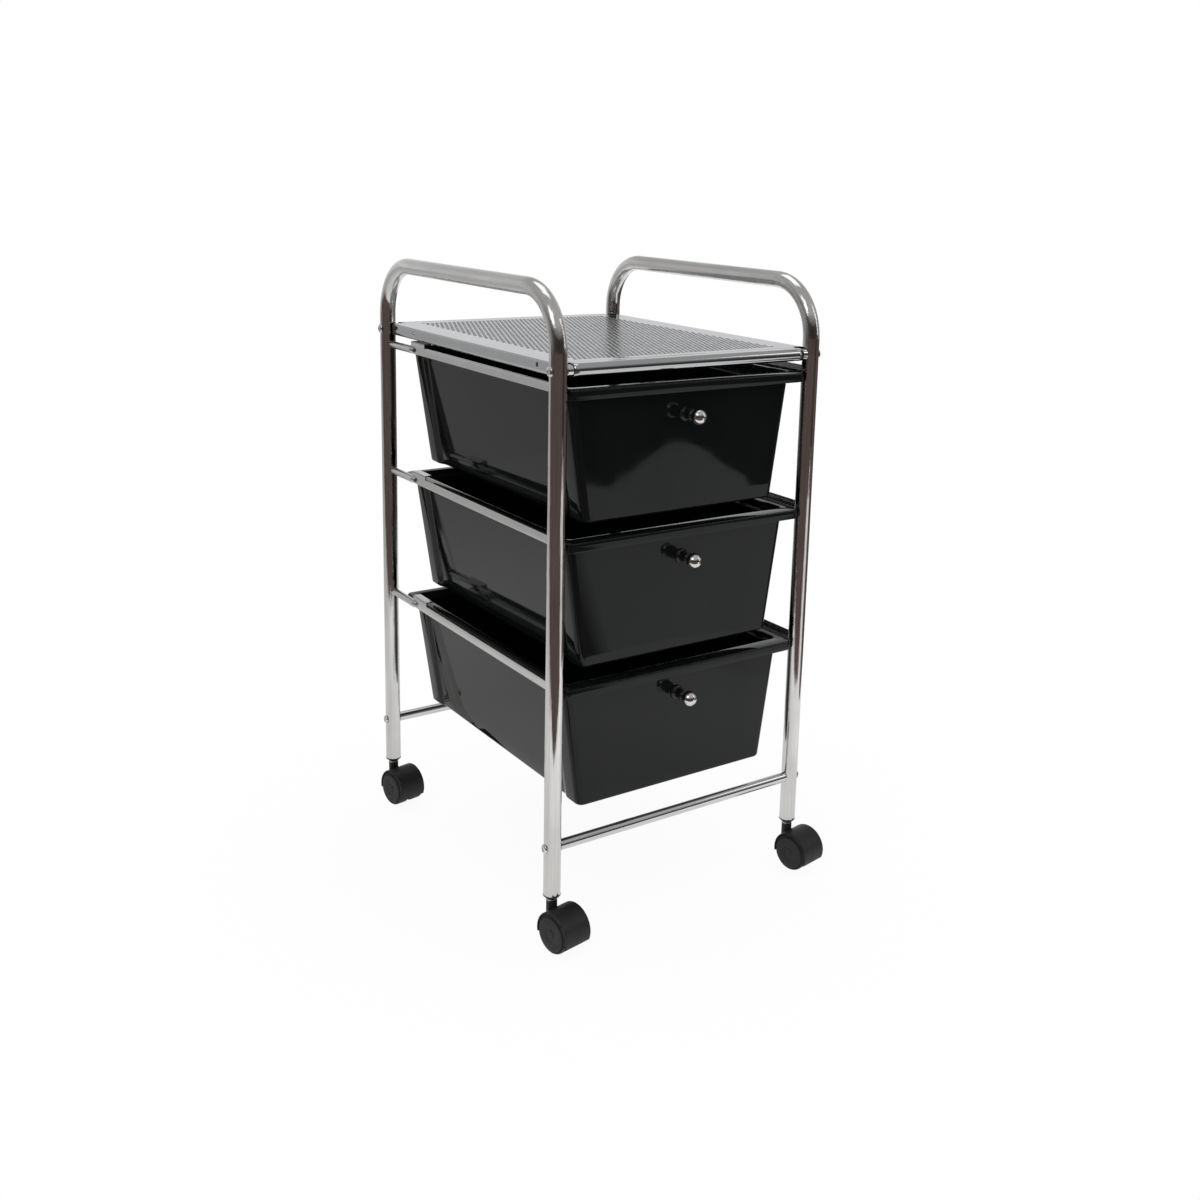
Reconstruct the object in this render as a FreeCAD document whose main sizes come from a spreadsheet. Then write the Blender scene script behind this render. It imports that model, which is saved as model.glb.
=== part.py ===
"""Rolling storage trolley: two bent-tube side frames joined by cross bars, a perforated
tray on top, three pull-out drawers hung in side rails, and four twin-wheel casters.

Millimetres, +Z up.  The origin is on the floor under the middle of the whole trolley,
front towards -Y.  Each sub-part is drawn about the middle of its own group (the four leg
axes, a drawer's rail height, a caster's stem) and its Placement puts it in the trolley.
"""
import FreeCAD, Part
import math
import os

import Sketcher
from FreeCAD import Placement, Rotation, Vector

# Driving dimensions, in millimetres unless the name says otherwise.
SIZES = {
    # where the middle of the four leg axes stands, seen from the origin
    "frame_x": -3.4,
    "frame_y": 16.4,
    # side frames
    "leg_x": 154.2,
    "leg_y": 189.5,
    "tube_radius": 8.75,
    "tube_wall": 1.0,
    "foot_z": 51.2,
    "handle_z": 651.25,
    "bend_radius": 58.0,
    # cross bars and the screws that hold them
    "bar_radius": 5.5,
    "bar_bore_radius": 4.3,
    "upper_bar_z": 577.3,
    "lower_bar_z": 101.2,
    "thread_radius": 2.5,
    "thread_depth": 30.0,
    "screw_radius": 2.4,
    "screw_reach": 28.0,
    "head_radius": 5.5,
    "head_height": 3.8,
    "head_round": 2.7,
    "drive_length": 6.0,
    "drive_width": 1.2,
    "drive_depth": 1.2,
    "frame_hole_radius": 2.7,
    # rails
    "top_rail_z": 560.0,
    "rail_pitch": 147.5,
    "rail_height": 9.0,
    "rail_gauge": 1.2,
    "rail_depth": 16.4,
    "rail_neck_radius": 4.2,
    "neck_lap": 8.0,
    "stop_lap": 1.0,
    "ear_gap": 0.8,
    "channel_end_y": 128.0,
    "stop_front_y": 94.0,
    "stop_rise": 4.8,
    "stop_depth": 9.0,
    # tray
    "tray_gauge": 0.8,
    "tray_lap_x": 140.0,
    "tray_notch_y": 176.5,
    "tray_skirt": 12.0,
    "tray_fit": 0.1,
    "tray_hole_y": 121.0,
    "tray_hole_radius": 1.6,
    "tray_slot_y": -150.5,
    "tray_slot_width": 1.8,
    "tray_slot_height": 4.4,
    "tray_pierce_drop": 5.0,
    "tray_curl_degrees": 215.0,
    "hole_pitch": 7.5,
    "hole_radius": 1.9,
    # drawers, drawn about the middle height of their rail
    "mouth_z": -1.2,
    "drawer_top_x": 136.8,
    "drawer_base_x": 118.0,
    "drawer_front_y": 180.0,
    "drawer_back_y": 163.0,
    "drawer_back_base_y": 158.0,
    "drawer_wall": 2.0,
    "drawer_depth": 134.0,
    "rim_x": 143.4,
    "rim_front_y": 195.0,
    "rim_back_y": 171.0,
    "rim_gauge": 1.8,
    "lip_drop": 9.8,
    "lip_return": 11.5,
    "column_width": 24.0,
    "slope_width": 7.0,
    "panel_inset": 3.0,
    "drawer_corner": 8.0,
    "foot_round": 3.0,
    "rim_corner": 6.0,
    "ear_round": 5.0,
    "lip_roll": 1.2,
    # knobs
    "knob_drop": 35.5,
    "knob_hole_radius": 2.3,
    "knob_screw_radius": 2.0,
    "knob_base_radius": 7.6,
    "knob_neck_radius": 4.6,
    "knob_collar_radius": 6.2,
    "knob_neck_length": 15.6,
    "knob_fit": 0.1,
    "knob_thread_end": 2.4,
    "knob_head_radius": 4.2,
    "knob_head_height": 2.4,
    "ball_radius": 8.0,
    "ball_reach": 22.4,
    # casters, drawn about the stem axis
    "caster_turn_degrees": 10.4,
    "trail": 18.6,
    "wheel_radius": 20.0,
    "wheel_inner_x": 2.7,
    "wheel_outer_x": 17.7,
    "hood_inner_radius": 20.7,
    "hood_outer_radius": 22.4,
    "hood_half_width": 16.4,
    "hood_shoulder": 1.2,
    "web_half_width": 2.2,
    "column_radius": 5.6,
    "column_top_z": 44.6,
    "skirt_rear_drop": 9.6,
    "skirt_front_drop": 3.4,
    "skirt_reach": 30.0,
    "stem_radius": 3.9,
    "stem_bore_radius": 3.96,
    "stem_top_z": 86.0,
    "stem_base_z": 30.5,
    "ring_radius": 5.5,
    "ring_height": 1.5,
    "ring_gap": 0.2,
    "cap_height": 1.3,
    "cap_proud": 0.2,
    "socket_top_z": 92.0,
    "socket_fit": 0.05,
    "axle_radius": 2.4,
    "wheel_bore_radius": 2.46,
    "axle_half_length": 13.5,
    "axle_bevel": 0.4,
    "axle_fit": 0.01,
    "hub_radius": 5.0,
    "tread_gauge": 2.6,
}

HOLE_COLUMNS = 33
HOLE_ROWS = 45
LEVELS = ("top", "middle", "bottom")
SIDES = {"left": -1, "right": 1}
ENDS = {"front": -1, "rear": 1}


# ---------------------------------------------------------------- document helpers

def make_sheet(document):
    """Put every driving dimension in a spreadsheet cell that carries its name."""
    sheet = document.addObject("Spreadsheet::Sheet", "Sizes")
    for row, (name, value) in enumerate(SIZES.items(), start=1):
        sheet.set(f"A{row}", name)
        sheet.set(f"B{row}", str(value))
        sheet.setAlias(f"B{row}", name)
    document.recompute()
    return sheet


def named(formula):
    """Turn a formula of size names into one that reads the spreadsheet."""
    words, word = [], ""
    for letter in formula + " ":
        if letter.isalnum() or letter == "_":
            word += letter
            continue
        words.append("Sizes." + word if word in SIZES else word)
        words.append(letter)
        word = ""
    return "".join(words).strip()


def number(owner, formula):
    """The present value of a formula of size names."""
    result = owner.evalExpression(named(str(formula)))
    return float(getattr(result, "Value", result))


def make_body(document, label, where=("frame_x", "frame_y", "0"), turned=False):
    """An empty body whose Placement follows three formulas, turned with a caster if asked."""
    body = document.addObject("PartDesign::Body", label)
    body.Label = label
    for axis, formula in zip("xyz", where):
        body.setExpression(f"Placement.Base.{axis}", named(formula))
    if turned:
        body.Placement.Rotation = Rotation(Vector(0, 0, 1), SIZES["caster_turn_degrees"])
    return body


def make_sketch(body, name, role, offset=None):
    """A sketch on one of the body's own origin planes, or parallel to it at a distance."""
    sketch = body.newObject("Sketcher::SketchObject", name)
    planes = [f for f in body.Origin.OriginFeatures if f.Role == role]
    sketch.AttachmentSupport = [(planes[0], "")]
    sketch.MapMode = "FlatFace"
    if offset is not None:
        sketch.setExpression("AttachmentOffset.Base.z", named(offset))
    return sketch


def pin_coordinate(sketch, kind, geometry, point, formula):
    """Hold one coordinate of a sketch point at a formula's value."""
    if str(formula) == "0":
        axis = -2 if kind == "DistanceX" else -1
        sketch.addConstraint(Sketcher.Constraint("PointOnObject", geometry, point, axis))
        return
    index = sketch.addConstraint(
        Sketcher.Constraint(kind, -1, 1, geometry, point, number(sketch, formula)))
    sketch.setExpression(f"Constraints[{index}]", named(formula))


def arc_between(start, end, radius, side):
    """The shorter arc from start to end, whose centre lies left (+1) or right (-1)."""
    middle = (start + end) * 0.5
    chord = end - start
    across = Vector(-chord.y, chord.x, 0).normalize()
    height = math.sqrt(max(radius ** 2 - (chord.Length / 2) ** 2, 0.0))
    centre = middle + across * (side * height)
    first, last = (start, end) if side > 0 else (end, start)
    angles = [math.atan2(p.y - centre.y, p.x - centre.x) for p in (first, last)]
    return Part.ArcOfCircle(Part.Circle(centre, Vector(0, 0, 1), radius), *angles)


def trace(sketch, corners, closed=True):
    """Draw lines and arcs through corners given as (x, y) or (x, y, radius, side).

    A corner with a radius is reached by an arc, the others by a straight line.  Every
    coordinate and radius is a formula that the sketch keeps."""
    places = [Vector(number(sketch, c[0]), number(sketch, c[1]), 0) for c in corners]
    count = len(corners)
    steps = range(1, count + 1 if closed else count)
    ends = []
    for step in steps:
        here = corners[step % count]
        start, end = places[step - 1], places[step % count]
        if len(here) == 4:
            radius, side = number(sketch, here[2]), here[3]
            index = sketch.addGeometry(arc_between(start, end, radius, side), False)
            ends.append((index, 1, 2) if side > 0 else (index, 2, 1))
        else:
            index = sketch.addGeometry(Part.LineSegment(start, end), False)
            ends.append((index, 1, 2))
    for place, (index, first, _) in enumerate(ends):
        before = ends[place - 1]
        if closed or place > 0:
            sketch.addConstraint(
                Sketcher.Constraint("Coincident", before[0], before[2], index, first))
        pin_coordinate(sketch, "DistanceX", index, first, corners[place][0])
        pin_coordinate(sketch, "DistanceY", index, first, corners[place][1])
    if not closed:
        index, _, last = ends[-1]
        pin_coordinate(sketch, "DistanceX", index, last, corners[-1][0])
        pin_coordinate(sketch, "DistanceY", index, last, corners[-1][1])
    for step, (index, _, _) in zip(steps, ends):
        here = corners[step % count]
        if len(here) == 4:
            at = sketch.addConstraint(
                Sketcher.Constraint("Radius", index, number(sketch, here[2])))
            sketch.setExpression(f"Constraints[{at}]", named(here[2]))


def draw_circle(sketch, x, y, radius):
    """Draw one circle whose centre and radius follow formulas."""
    centre = Vector(number(sketch, x), number(sketch, y), 0)
    index = sketch.addGeometry(
        Part.Circle(centre, Vector(0, 0, 1), number(sketch, radius)), False)
    pin_coordinate(sketch, "DistanceX", index, 3, x)
    pin_coordinate(sketch, "DistanceY", index, 3, y)
    at = sketch.addConstraint(Sketcher.Constraint("Radius", index, number(sketch, radius)))
    sketch.setExpression(f"Constraints[{at}]", named(radius))


def pad(body, name, sketch, length, midplane=False, backwards=False):
    """Add the sketch's outline to the body over a length."""
    feature = body.newObject("PartDesign::Pad", name)
    feature.Profile = sketch
    feature.setExpression("Length", named(length))
    feature.Midplane = midplane
    feature.Reversed = backwards
    return feature


def pocket(body, name, sketch, length=None, backwards=False):
    """Cut the sketch's outline from the body, over a length or right through both ways."""
    before = body.Tip.Shape.Volume
    feature = body.newObject("PartDesign::Pocket", name)
    feature.Profile = sketch
    if length is None:
        feature.Type = 1
        feature.Midplane = True
    else:
        feature.setExpression("Length", named(length))
    feature.Reversed = backwards
    body.Document.recompute()
    if not feature.Shape.Volume < before - 1e-3:
        raise ValueError(f"{body.Label}: {name} cuts nothing")
    return feature


def revolve(body, name, sketch, axis="V_Axis"):
    """Turn the sketch's outline about one of its own axes."""
    feature = body.newObject("PartDesign::Revolution", name)
    feature.Profile = sketch
    feature.ReferenceAxis = (sketch, [axis])
    feature.Angle = 360
    return feature


def round_edges(body, name, chosen, radius):
    """Fillet the edges of the body's tip that the test picks out, to a formula's radius."""
    body.Document.recompute()
    base = body.Tip
    edges = [f"Edge{i}" for i, edge in enumerate(base.Shape.Edges, start=1) if chosen(edge)]
    feature = body.newObject("PartDesign::Fillet", name)
    feature.Base = (base, edges)
    feature.setExpression("Radius", named(radius))
    return feature


def middle_of(edge):
    """The point halfway along an edge."""
    return edge.valueAt((edge.FirstParameter + edge.LastParameter) / 2)


# ---------------------------------------------------------------- frame

def build_side_frame(document, side_name):
    """One length of tube bent into an upside-down U: two legs and the handle between."""
    side = SIDES[side_name]
    body = make_body(document, f"{side_name}_frame")
    path = make_sketch(body, f"{side_name}_frame_path", "YZ_Plane", f"{side} * leg_x")
    trace(path, [
        ("-leg_y", "foot_z"),
        ("-leg_y", "handle_z - bend_radius"),
        ("-leg_y + bend_radius", "handle_z", "bend_radius", -1),
        ("leg_y - bend_radius", "handle_z"),
        ("leg_y", "handle_z - bend_radius", "bend_radius", -1),
        ("leg_y", "foot_z"),
    ], closed=False)
    section = make_sketch(body, f"{side_name}_frame_section", "XY_Plane", "foot_z")
    draw_circle(section, f"{side} * leg_x", "-leg_y", "tube_radius")
    bore = make_sketch(body, f"{side_name}_frame_bore", "XY_Plane", "foot_z")
    draw_circle(bore, f"{side} * leg_x", "-leg_y", "tube_radius - tube_wall")
    for kind, profile in (("PartDesign::AdditivePipe", section),
                          ("PartDesign::SubtractivePipe", bore)):
        pipe = body.newObject(kind, f"{profile.Name}_pipe")
        pipe.Profile = profile
        pipe.Spine = (path, [f"Edge{i}" for i in range(1, 6)])
        document.recompute()
    holes = make_sketch(body, f"{side_name}_frame_screw_holes", "YZ_Plane", f"{side} * leg_x")
    for end in ENDS.values():
        for height in ("upper_bar_z", "lower_bar_z"):
            draw_circle(holes, f"{end} * leg_y", height, "frame_hole_radius")
    cut = pocket(body, f"{side_name}_frame_screw_pockets", holes)
    return cut


def build_cross_bar(document, height_name, end_name):
    """A round bar between the two frames, bored for its screws and coped to the legs."""
    label = f"{height_name}_{end_name}_bar"
    where = ("frame_x", f"frame_y + {ENDS[end_name]} * leg_y", f"{height_name}_bar_z")
    body = make_body(document, label, where)
    profile = make_sketch(body, f"{label}_profile", "XZ_Plane")
    trace(profile, [
        ("-leg_x", "thread_radius"),
        ("-leg_x + thread_depth", "thread_radius"),
        ("-leg_x + thread_depth", "bar_bore_radius"),
        ("leg_x - thread_depth", "bar_bore_radius"),
        ("leg_x - thread_depth", "thread_radius"),
        ("leg_x", "thread_radius"),
        ("leg_x", "bar_radius"),
        ("-leg_x", "bar_radius"),
    ])
    revolve(body, f"{label}_turned", profile, "H_Axis")
    document.recompute()
    cope = make_sketch(body, f"{label}_cope", "XY_Plane")
    for side in SIDES.values():
        draw_circle(cope, f"{side} * leg_x", "0", "tube_radius")
    pocket(body, f"{label}_coped", cope)


def build_frame_screws(document):
    """Eight pan-head screws, one through each leg into each end of the cross bars."""
    head = document.addObject("Part::Cylinder", "screw_head_blank")
    head.setExpression("Radius", named("head_radius"))
    head.setExpression("Height", named("head_height"))
    crown = document.addObject("Part::Fillet", "screw_head")
    crown.Base = head
    document.recompute()
    rim = [i for i, edge in enumerate(head.Shape.Edges, start=1)
           if isinstance(edge.Curve, Part.Circle) and middle_of(edge).z > 1.0]
    crown.Edges = [(i, SIZES["head_round"], SIZES["head_round"]) for i in rim]
    shank = document.addObject("Part::Cylinder", "screw_shank")
    shank.setExpression("Radius", named("screw_radius"))
    shank.setExpression("Height", named("screw_reach"))
    shank.setExpression("Placement.Base.z", named("-screw_reach"))
    slots = document.addObject("Part::MultiFuse", "screw_drive")
    for long, short in (("Length", "Width"), ("Width", "Length")):
        bar = document.addObject("Part::Box", f"screw_drive_{long.lower()}")
        bar.setExpression(long, named("drive_length"))
        bar.setExpression(short, named("drive_width"))
        bar.setExpression("Height", named("2 * drive_depth"))
        along, across = ("x", "y") if long == "Length" else ("y", "x")
        bar.setExpression(f"Placement.Base.{along}", named("-drive_length / 2"))
        bar.setExpression(f"Placement.Base.{across}", named("-drive_width / 2"))
        bar.setExpression("Placement.Base.z", named("head_height - drive_depth"))
        slots.Shapes = slots.Shapes + [bar]
    solid = document.addObject("Part::MultiFuse", "screw_blank")
    solid.Shapes = [crown, shank]
    screw = document.addObject("Part::Cut", "screw_pattern")
    screw.Base, screw.Tool = solid, slots
    document.recompute()
    group = document.addObject("Part::Feature", "frame_screws")
    group.Label = "frame_screws"
    screws = []
    for side in SIDES.values():
        for end in ENDS.values():
            for height in ("upper_bar_z", "lower_bar_z"):
                copy = screw.Shape.copy()
                face_x = side * (SIZES["leg_x"] + SIZES["tube_radius"])
                copy.Placement = Placement(
                    Vector(face_x, end * SIZES["leg_y"], SIZES[height]),
                    Rotation(Vector(0, 1, 0), side * 90))
                screws.append(copy)
    group.Shape = Part.makeCompound(screws)
    group.Placement = Placement(Vector(SIZES["frame_x"], SIZES["frame_y"], 0), Rotation())
    return group


def build_rail(document, side_name, level):
    """A pressed channel that carries one side of a drawer.

    A tall web stands in the plane of the legs, a flange along its foot holds the drawer's
    rim up, a short hood at the back holds the rim down when the drawer is out, and a round
    neck joins the channel to the rear leg.  The flange's front corner is notched for the
    ear at the end of the drawer's lip."""
    side = SIDES[side_name]
    label = f"{side_name}_{LEVELS[level]}_rail"
    where = ("frame_x", "frame_y", f"top_rail_z - {level} * rail_pitch")
    body = make_body(document, label, where)

    section = make_sketch(body, f"{label}_section", "XZ_Plane")
    outer, inner = f"{side} * leg_x", f"{side} * (leg_x - rail_gauge)"
    tip = f"{side} * (leg_x - rail_depth)"
    foot, floor = "-rail_height / 2", "-rail_height / 2 + rail_gauge"
    trace(section, [
        (outer, "rail_height / 2"), (outer, foot), (tip, foot), (tip, floor),
        (inner, floor), (inner, "rail_height / 2"),
    ])
    channel = pad(body, f"{label}_channel", section, "leg_y + channel_end_y")
    section.setExpression("AttachmentOffset.Base.z", named("-channel_end_y"))
    document.recompute()
    if channel.Shape.BoundBox.YMax > SIZES["channel_end_y"] + 1:
        raise ValueError(f"{label}: the channel runs the wrong way")

    stop = make_sketch(body, f"{label}_stop_section", "XZ_Plane", "-channel_end_y")
    crest = "rail_height / 2 + stop_rise"
    hood = f"{side} * (leg_x - stop_depth)"
    trace(stop, [
        (outer, "rail_height / 2 - stop_lap"), (outer, crest), (hood, crest),
        (hood, f"{crest} - rail_gauge"), (inner, f"{crest} - rail_gauge"),
        (inner, "rail_height / 2 - stop_lap"),
    ])
    pad(body, f"{label}_stop", stop, "channel_end_y - stop_front_y")

    neck = make_sketch(body, f"{label}_neck_section", "XZ_Plane", "-leg_y")
    draw_circle(neck, outer, "0", "rail_neck_radius")
    pad(body, f"{label}_neck", neck, "leg_y - channel_end_y + neck_lap")

    document.recompute()
    cope = make_sketch(body, f"{label}_cope", "XY_Plane")
    for end in ENDS.values():
        draw_circle(cope, outer, f"{end} * leg_y", "tube_radius")
    pocket(body, f"{label}_coped", cope)

    document.recompute()
    ear = make_sketch(body, f"{label}_ear_plan", "XY_Plane")
    beside, behind = f"{side} * (rim_x + ear_gap)", "-rim_front_y + lip_return + ear_gap"
    beyond = f"{side} * (leg_x - 2 * rail_depth)"
    trace(ear, [(beside, "-rim_front_y"), (beside, behind), (beyond, behind),
                (beyond, "-rim_front_y")])
    pocket(body, f"{label}_ear_notch", ear)


# ---------------------------------------------------------------- tray

def build_tray(document):
    """Perforated sheet lapped over the two upper bars, with a skirt down each side.

    The sheet has some fifteen hundred holes, which is far more than pattern features or
    booleans handle in reasonable time, so the blank's two big faces are exchanged for
    faces with holes, and the holes' walls are sewn in between."""
    size = SIZES
    gauge, lap_x, side_x = size["tray_gauge"], size["tray_lap_x"], size["leg_x"]
    roll = size["bar_radius"] + size["tray_fit"]
    top_z = size["upper_bar_z"] + roll + gauge
    corner = [(side_x, size["tray_notch_y"]), (lap_x, size["tray_notch_y"]),
              (lap_x, size["leg_y"])]
    outline = corner + [(-x, y) for x, y in reversed(corner)]
    outline += [(-x, -y) for x, y in corner] + [(x, -y) for x, y in reversed(corner)]
    points = [Vector(x, y, top_z - gauge) for x, y in outline]
    plate = Part.Face(Part.makePolygon(points + points[:1])).extrude(Vector(0, 0, gauge))

    pieces = [plate]
    length = 2 * size["tray_notch_y"]
    for side in SIDES.values():
        skirt = Part.makeBox(gauge, length, size["tray_skirt"])
        skirt.translate(Vector(side * side_x - (gauge if side > 0 else 0),
                               -length / 2, top_z - size["tray_skirt"]))
        pieces.append(pierce_skirt(skirt, side, top_z))
    for end in ENDS.values():
        pieces.append(bar_lap(end, roll, gauge))
    blank = pieces[0].fuse(pieces[1:]).removeSplitter()

    feature = document.addObject("Part::Feature", "tray")
    feature.Label = "tray"
    feature.Shape = perforate(blank, (top_z - gauge, top_z))
    feature.Placement = Placement(Vector(size["frame_x"], size["frame_y"], 0), Rotation())
    return feature


def perforate(blank, levels):
    """The blank with its field of round holes between two heights."""
    low, high = levels
    pitch, radius = SIZES["hole_pitch"], SIZES["hole_radius"]
    centres = [((column - (HOLE_COLUMNS - 1) / 2) * pitch, (row - (HOLE_ROWS - 1) / 2) * pitch)
               for column in range(HOLE_COLUMNS) for row in range(HOLE_ROWS)]
    faces = []
    for face in blank.Faces:
        box = face.BoundBox
        if box.ZLength > 0.01 or box.XLength < SIZES["tray_lap_x"] or box.ZMin < low - 0.01:
            faces.append(face)
            continue
        pierced = Part.Face(face.OuterWire)
        # a hole's edge runs the other way round from the sheet's own
        against = pierced.normalAt(0, 0) * -1
        pierced.cutHoles([Part.Wire(Part.makeCircle(radius, Vector(x, y, box.ZMin), against))
                          for x, y in centres])
        faces.append(pierced)
    for x, y in centres:
        circle = Part.makeCircle(radius, Vector(x, y, low))
        faces.append(circle.extrude(Vector(0, 0, high - low)))
    skin = Part.makeCompound(faces)
    skin.sewShape()
    return Part.Solid(skin.Shells[0])


def pierce_skirt(skirt, side, top_z):
    """Cut the round hanging hole near the back of a skirt and the slot near its front."""
    size, past = SIZES, 5
    across = Vector(side, 0, 0)
    start_x, middle_z = side * (size["leg_x"] - past), top_z - size["tray_pierce_drop"]
    hole = Part.makeCylinder(size["tray_hole_radius"], 2 * past,
                             Vector(start_x, size["tray_hole_y"], middle_z), across)
    slot = Part.makeBox(2 * past, size["tray_slot_width"], size["tray_slot_height"])
    slot.translate(Vector(side * size["leg_x"] - past, size["tray_slot_y"],
                          middle_z - size["tray_slot_height"] / 2))
    return skirt.cut([hole, slot])


def bar_lap(end, roll, gauge):
    """The curl of sheet that goes over an upper bar and down past its outer side."""
    length = 2 * SIZES["tray_lap_x"]
    ring = Part.makeCylinder(roll + gauge, length, Vector(0, 0, 0), Vector(1, 0, 0))
    ring = ring.cut(Part.makeCylinder(roll, length, Vector(0, 0, 0), Vector(1, 0, 0)))
    # the curl runs from the top of the bar, outwards and down
    start = Vector(0, 0, 1)
    reach = 3 * (roll + gauge)
    fan = [Vector(0, 0, 0)]
    steps = 8
    for step in range(steps + 1):
        angle = math.radians(SIZES["tray_curl_degrees"] * step / steps)
        fan.append(Vector(0, end * math.sin(angle), math.cos(angle)) * reach)
    wedge = Part.Face(Part.makePolygon(fan + fan[:1])).extrude(Vector(length, 0, 0))
    curl = ring.common(wedge)
    curl.translate(Vector(-length / 2, end * SIZES["leg_y"], SIZES["upper_bar_z"]))
    return curl


# ---------------------------------------------------------------- drawers

def drawer_outline(half_x, back_y, shrink="0"):
    """Corners of a drawer's plan: corner columns, with the side panels set in between."""
    reach, back = f"{half_x} - ({shrink})", f"{back_y} - ({shrink})"
    front, turn = f"drawer_front_y - ({shrink})", f"drawer_corner - ({shrink})"
    right = [
        (f"{reach} - ({turn})", f"-({front})"),
        (reach, f"-({front}) + {turn}", turn, 1),
        (reach, "-drawer_front_y + column_width"),
        (f"{reach} - panel_inset", "-drawer_front_y + column_width + slope_width"),
        (f"{reach} - panel_inset", f"{back_y} - column_width - slope_width"),
        (reach, f"{back_y} - column_width"),
        (reach, f"{back} - ({turn})"),
        (f"{reach} - ({turn})", back, turn, 1),
    ]
    left = [(f"-({corner[0]})", corner[1]) for corner in reversed(right)]
    left[1] += (turn, 1)
    left[-1] += (turn, 1)
    return right + left


def loft(body, kind, name, sections):
    """Join outlines at different heights with straight walls, adding or cutting."""
    sketches = []
    for place, (height, corners) in enumerate(sections):
        sketch = make_sketch(body, f"{name}_section_{place}", "XY_Plane", height)
        trace(sketch, corners)
        sketches.append(sketch)
    feature = body.newObject(kind, name)
    feature.Profile = sketches[0]
    feature.Sections = sketches[1:]
    feature.Ruled = True
    body.Document.recompute()
    return feature


def build_drawer(document, level):
    """A tapered open tub with an outward rim and a deeper lip across the front."""
    label = f"{LEVELS[level]}_drawer"
    where = ("frame_x", "frame_y", f"top_rail_z - {level} * rail_pitch")
    body = make_body(document, label, where)

    def wall_at(height, shrink):
        """The tub's outline at a height above its underside, made smaller all round."""
        part_way = f"({height}) / drawer_depth"
        half_x = f"(drawer_base_x + (drawer_top_x - drawer_base_x) * {part_way})"
        back_y = f"(drawer_back_base_y + (drawer_back_y - drawer_back_base_y) * {part_way})"
        return f"mouth_z - drawer_depth + {height}", drawer_outline(half_x, back_y, shrink)

    loft(body, "PartDesign::AdditiveLoft", f"{label}_tub", [
        wall_at("0", "foot_round"),
        wall_at("foot_round * 0.3", "foot_round * 0.3"),
        wall_at("foot_round", "0"),
        wall_at("drawer_depth", "0"),
    ])
    add_rim(document, body, label)
    loft(body, "PartDesign::SubtractiveLoft", f"{label}_cavity", [
        wall_at("drawer_wall", "drawer_wall + foot_round * 0.6"),
        wall_at("drawer_wall + foot_round * 0.6", "drawer_wall"),
        wall_at("drawer_depth + 1", "drawer_wall"),
    ])
    hole = make_sketch(body, f"{label}_knob_hole_plan", "XZ_Plane", "drawer_front_y - 6")
    draw_circle(hole, "0", "-knob_drop", "knob_hole_radius")
    pocket(body, f"{label}_knob_hole", hole, "12", backwards=True)


def add_rim(document, body, label):
    """The flange round the mouth and the lip that hangs from its front edge."""
    rim = make_sketch(body, f"{label}_rim_plan", "XY_Plane", "mouth_z - rim_gauge")
    trace(rim, [("-rim_x", "-rim_front_y"), ("rim_x", "-rim_front_y"),
                ("rim_x", "rim_back_y"), ("-rim_x", "rim_back_y")])
    pad(body, f"{label}_rim", rim, "rim_gauge")

    lip = make_sketch(body, f"{label}_lip_plan", "XY_Plane", "mouth_z - lip_drop")
    inner_x, inner_y = "(rim_x - drawer_wall)", "(rim_front_y - drawer_wall)"
    ear_y = "-rim_front_y + lip_return"
    trace(lip, [
        ("-rim_x", "-rim_front_y"), ("rim_x", "-rim_front_y"),
        ("rim_x", ear_y), (inner_x, ear_y), (inner_x, f"-{inner_y}"),
        (f"-{inner_x}", f"-{inner_y}"), (f"-{inner_x}", ear_y), ("-rim_x", ear_y),
    ])
    pad(body, f"{label}_lip", lip, "lip_drop - rim_gauge / 2")
    side_x, front_y, back_y = SIZES["rim_x"], -SIZES["rim_front_y"], SIZES["rim_back_y"]
    top_z, ear_back = SIZES["mouth_z"], front_y + SIZES["lip_return"]
    near = 0.05

    def rim_corner(edge):
        place = middle_of(edge)
        at_end = min(abs(place.y - front_y), abs(place.y - back_y)) < near
        return at_end and abs(abs(place.x) - side_x) < near and edge.BoundBox.ZLength > 1

    round_edges(body, f"{label}_rim_corners", rim_corner, "rim_corner")

    def ear_foot(edge):
        place = middle_of(edge)
        across = 1 < edge.BoundBox.XLength < 3
        at_foot = abs(place.z - top_z + SIZES["lip_drop"]) < near
        return across and at_foot and abs(place.y - ear_back) < near

    round_edges(body, f"{label}_ear_curves", ear_foot, "ear_round")

    def outer_top(edge):
        place = middle_of(edge)
        flat = edge.BoundBox.ZLength < near and abs(place.z - top_z) < near
        return flat and (edge.BoundBox.YMin < front_y + 8 or abs(place.x) > side_x - 3
                         or place.y > back_y - 3)

    round_edges(body, f"{label}_lip_roll", outer_top, "lip_roll")
    document.recompute()


# ---------------------------------------------------------------- knobs

def knob_place(level):
    """Where a knob's axis meets the outside of its drawer's front wall."""
    return ("frame_x", "frame_y - drawer_front_y",
            f"top_rail_z - {level} * rail_pitch - knob_drop")


def turn_along_front(document, label, level, corners):
    """A body turned about the knob's axis, which runs out of the front along -Y."""
    body = make_body(document, label, knob_place(level))
    profile = make_sketch(body, f"{label}_profile", "YZ_Plane")
    trace(profile, corners)
    revolve(body, f"{label}_turned", profile, "H_Axis")
    document.recompute()
    return body


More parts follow.
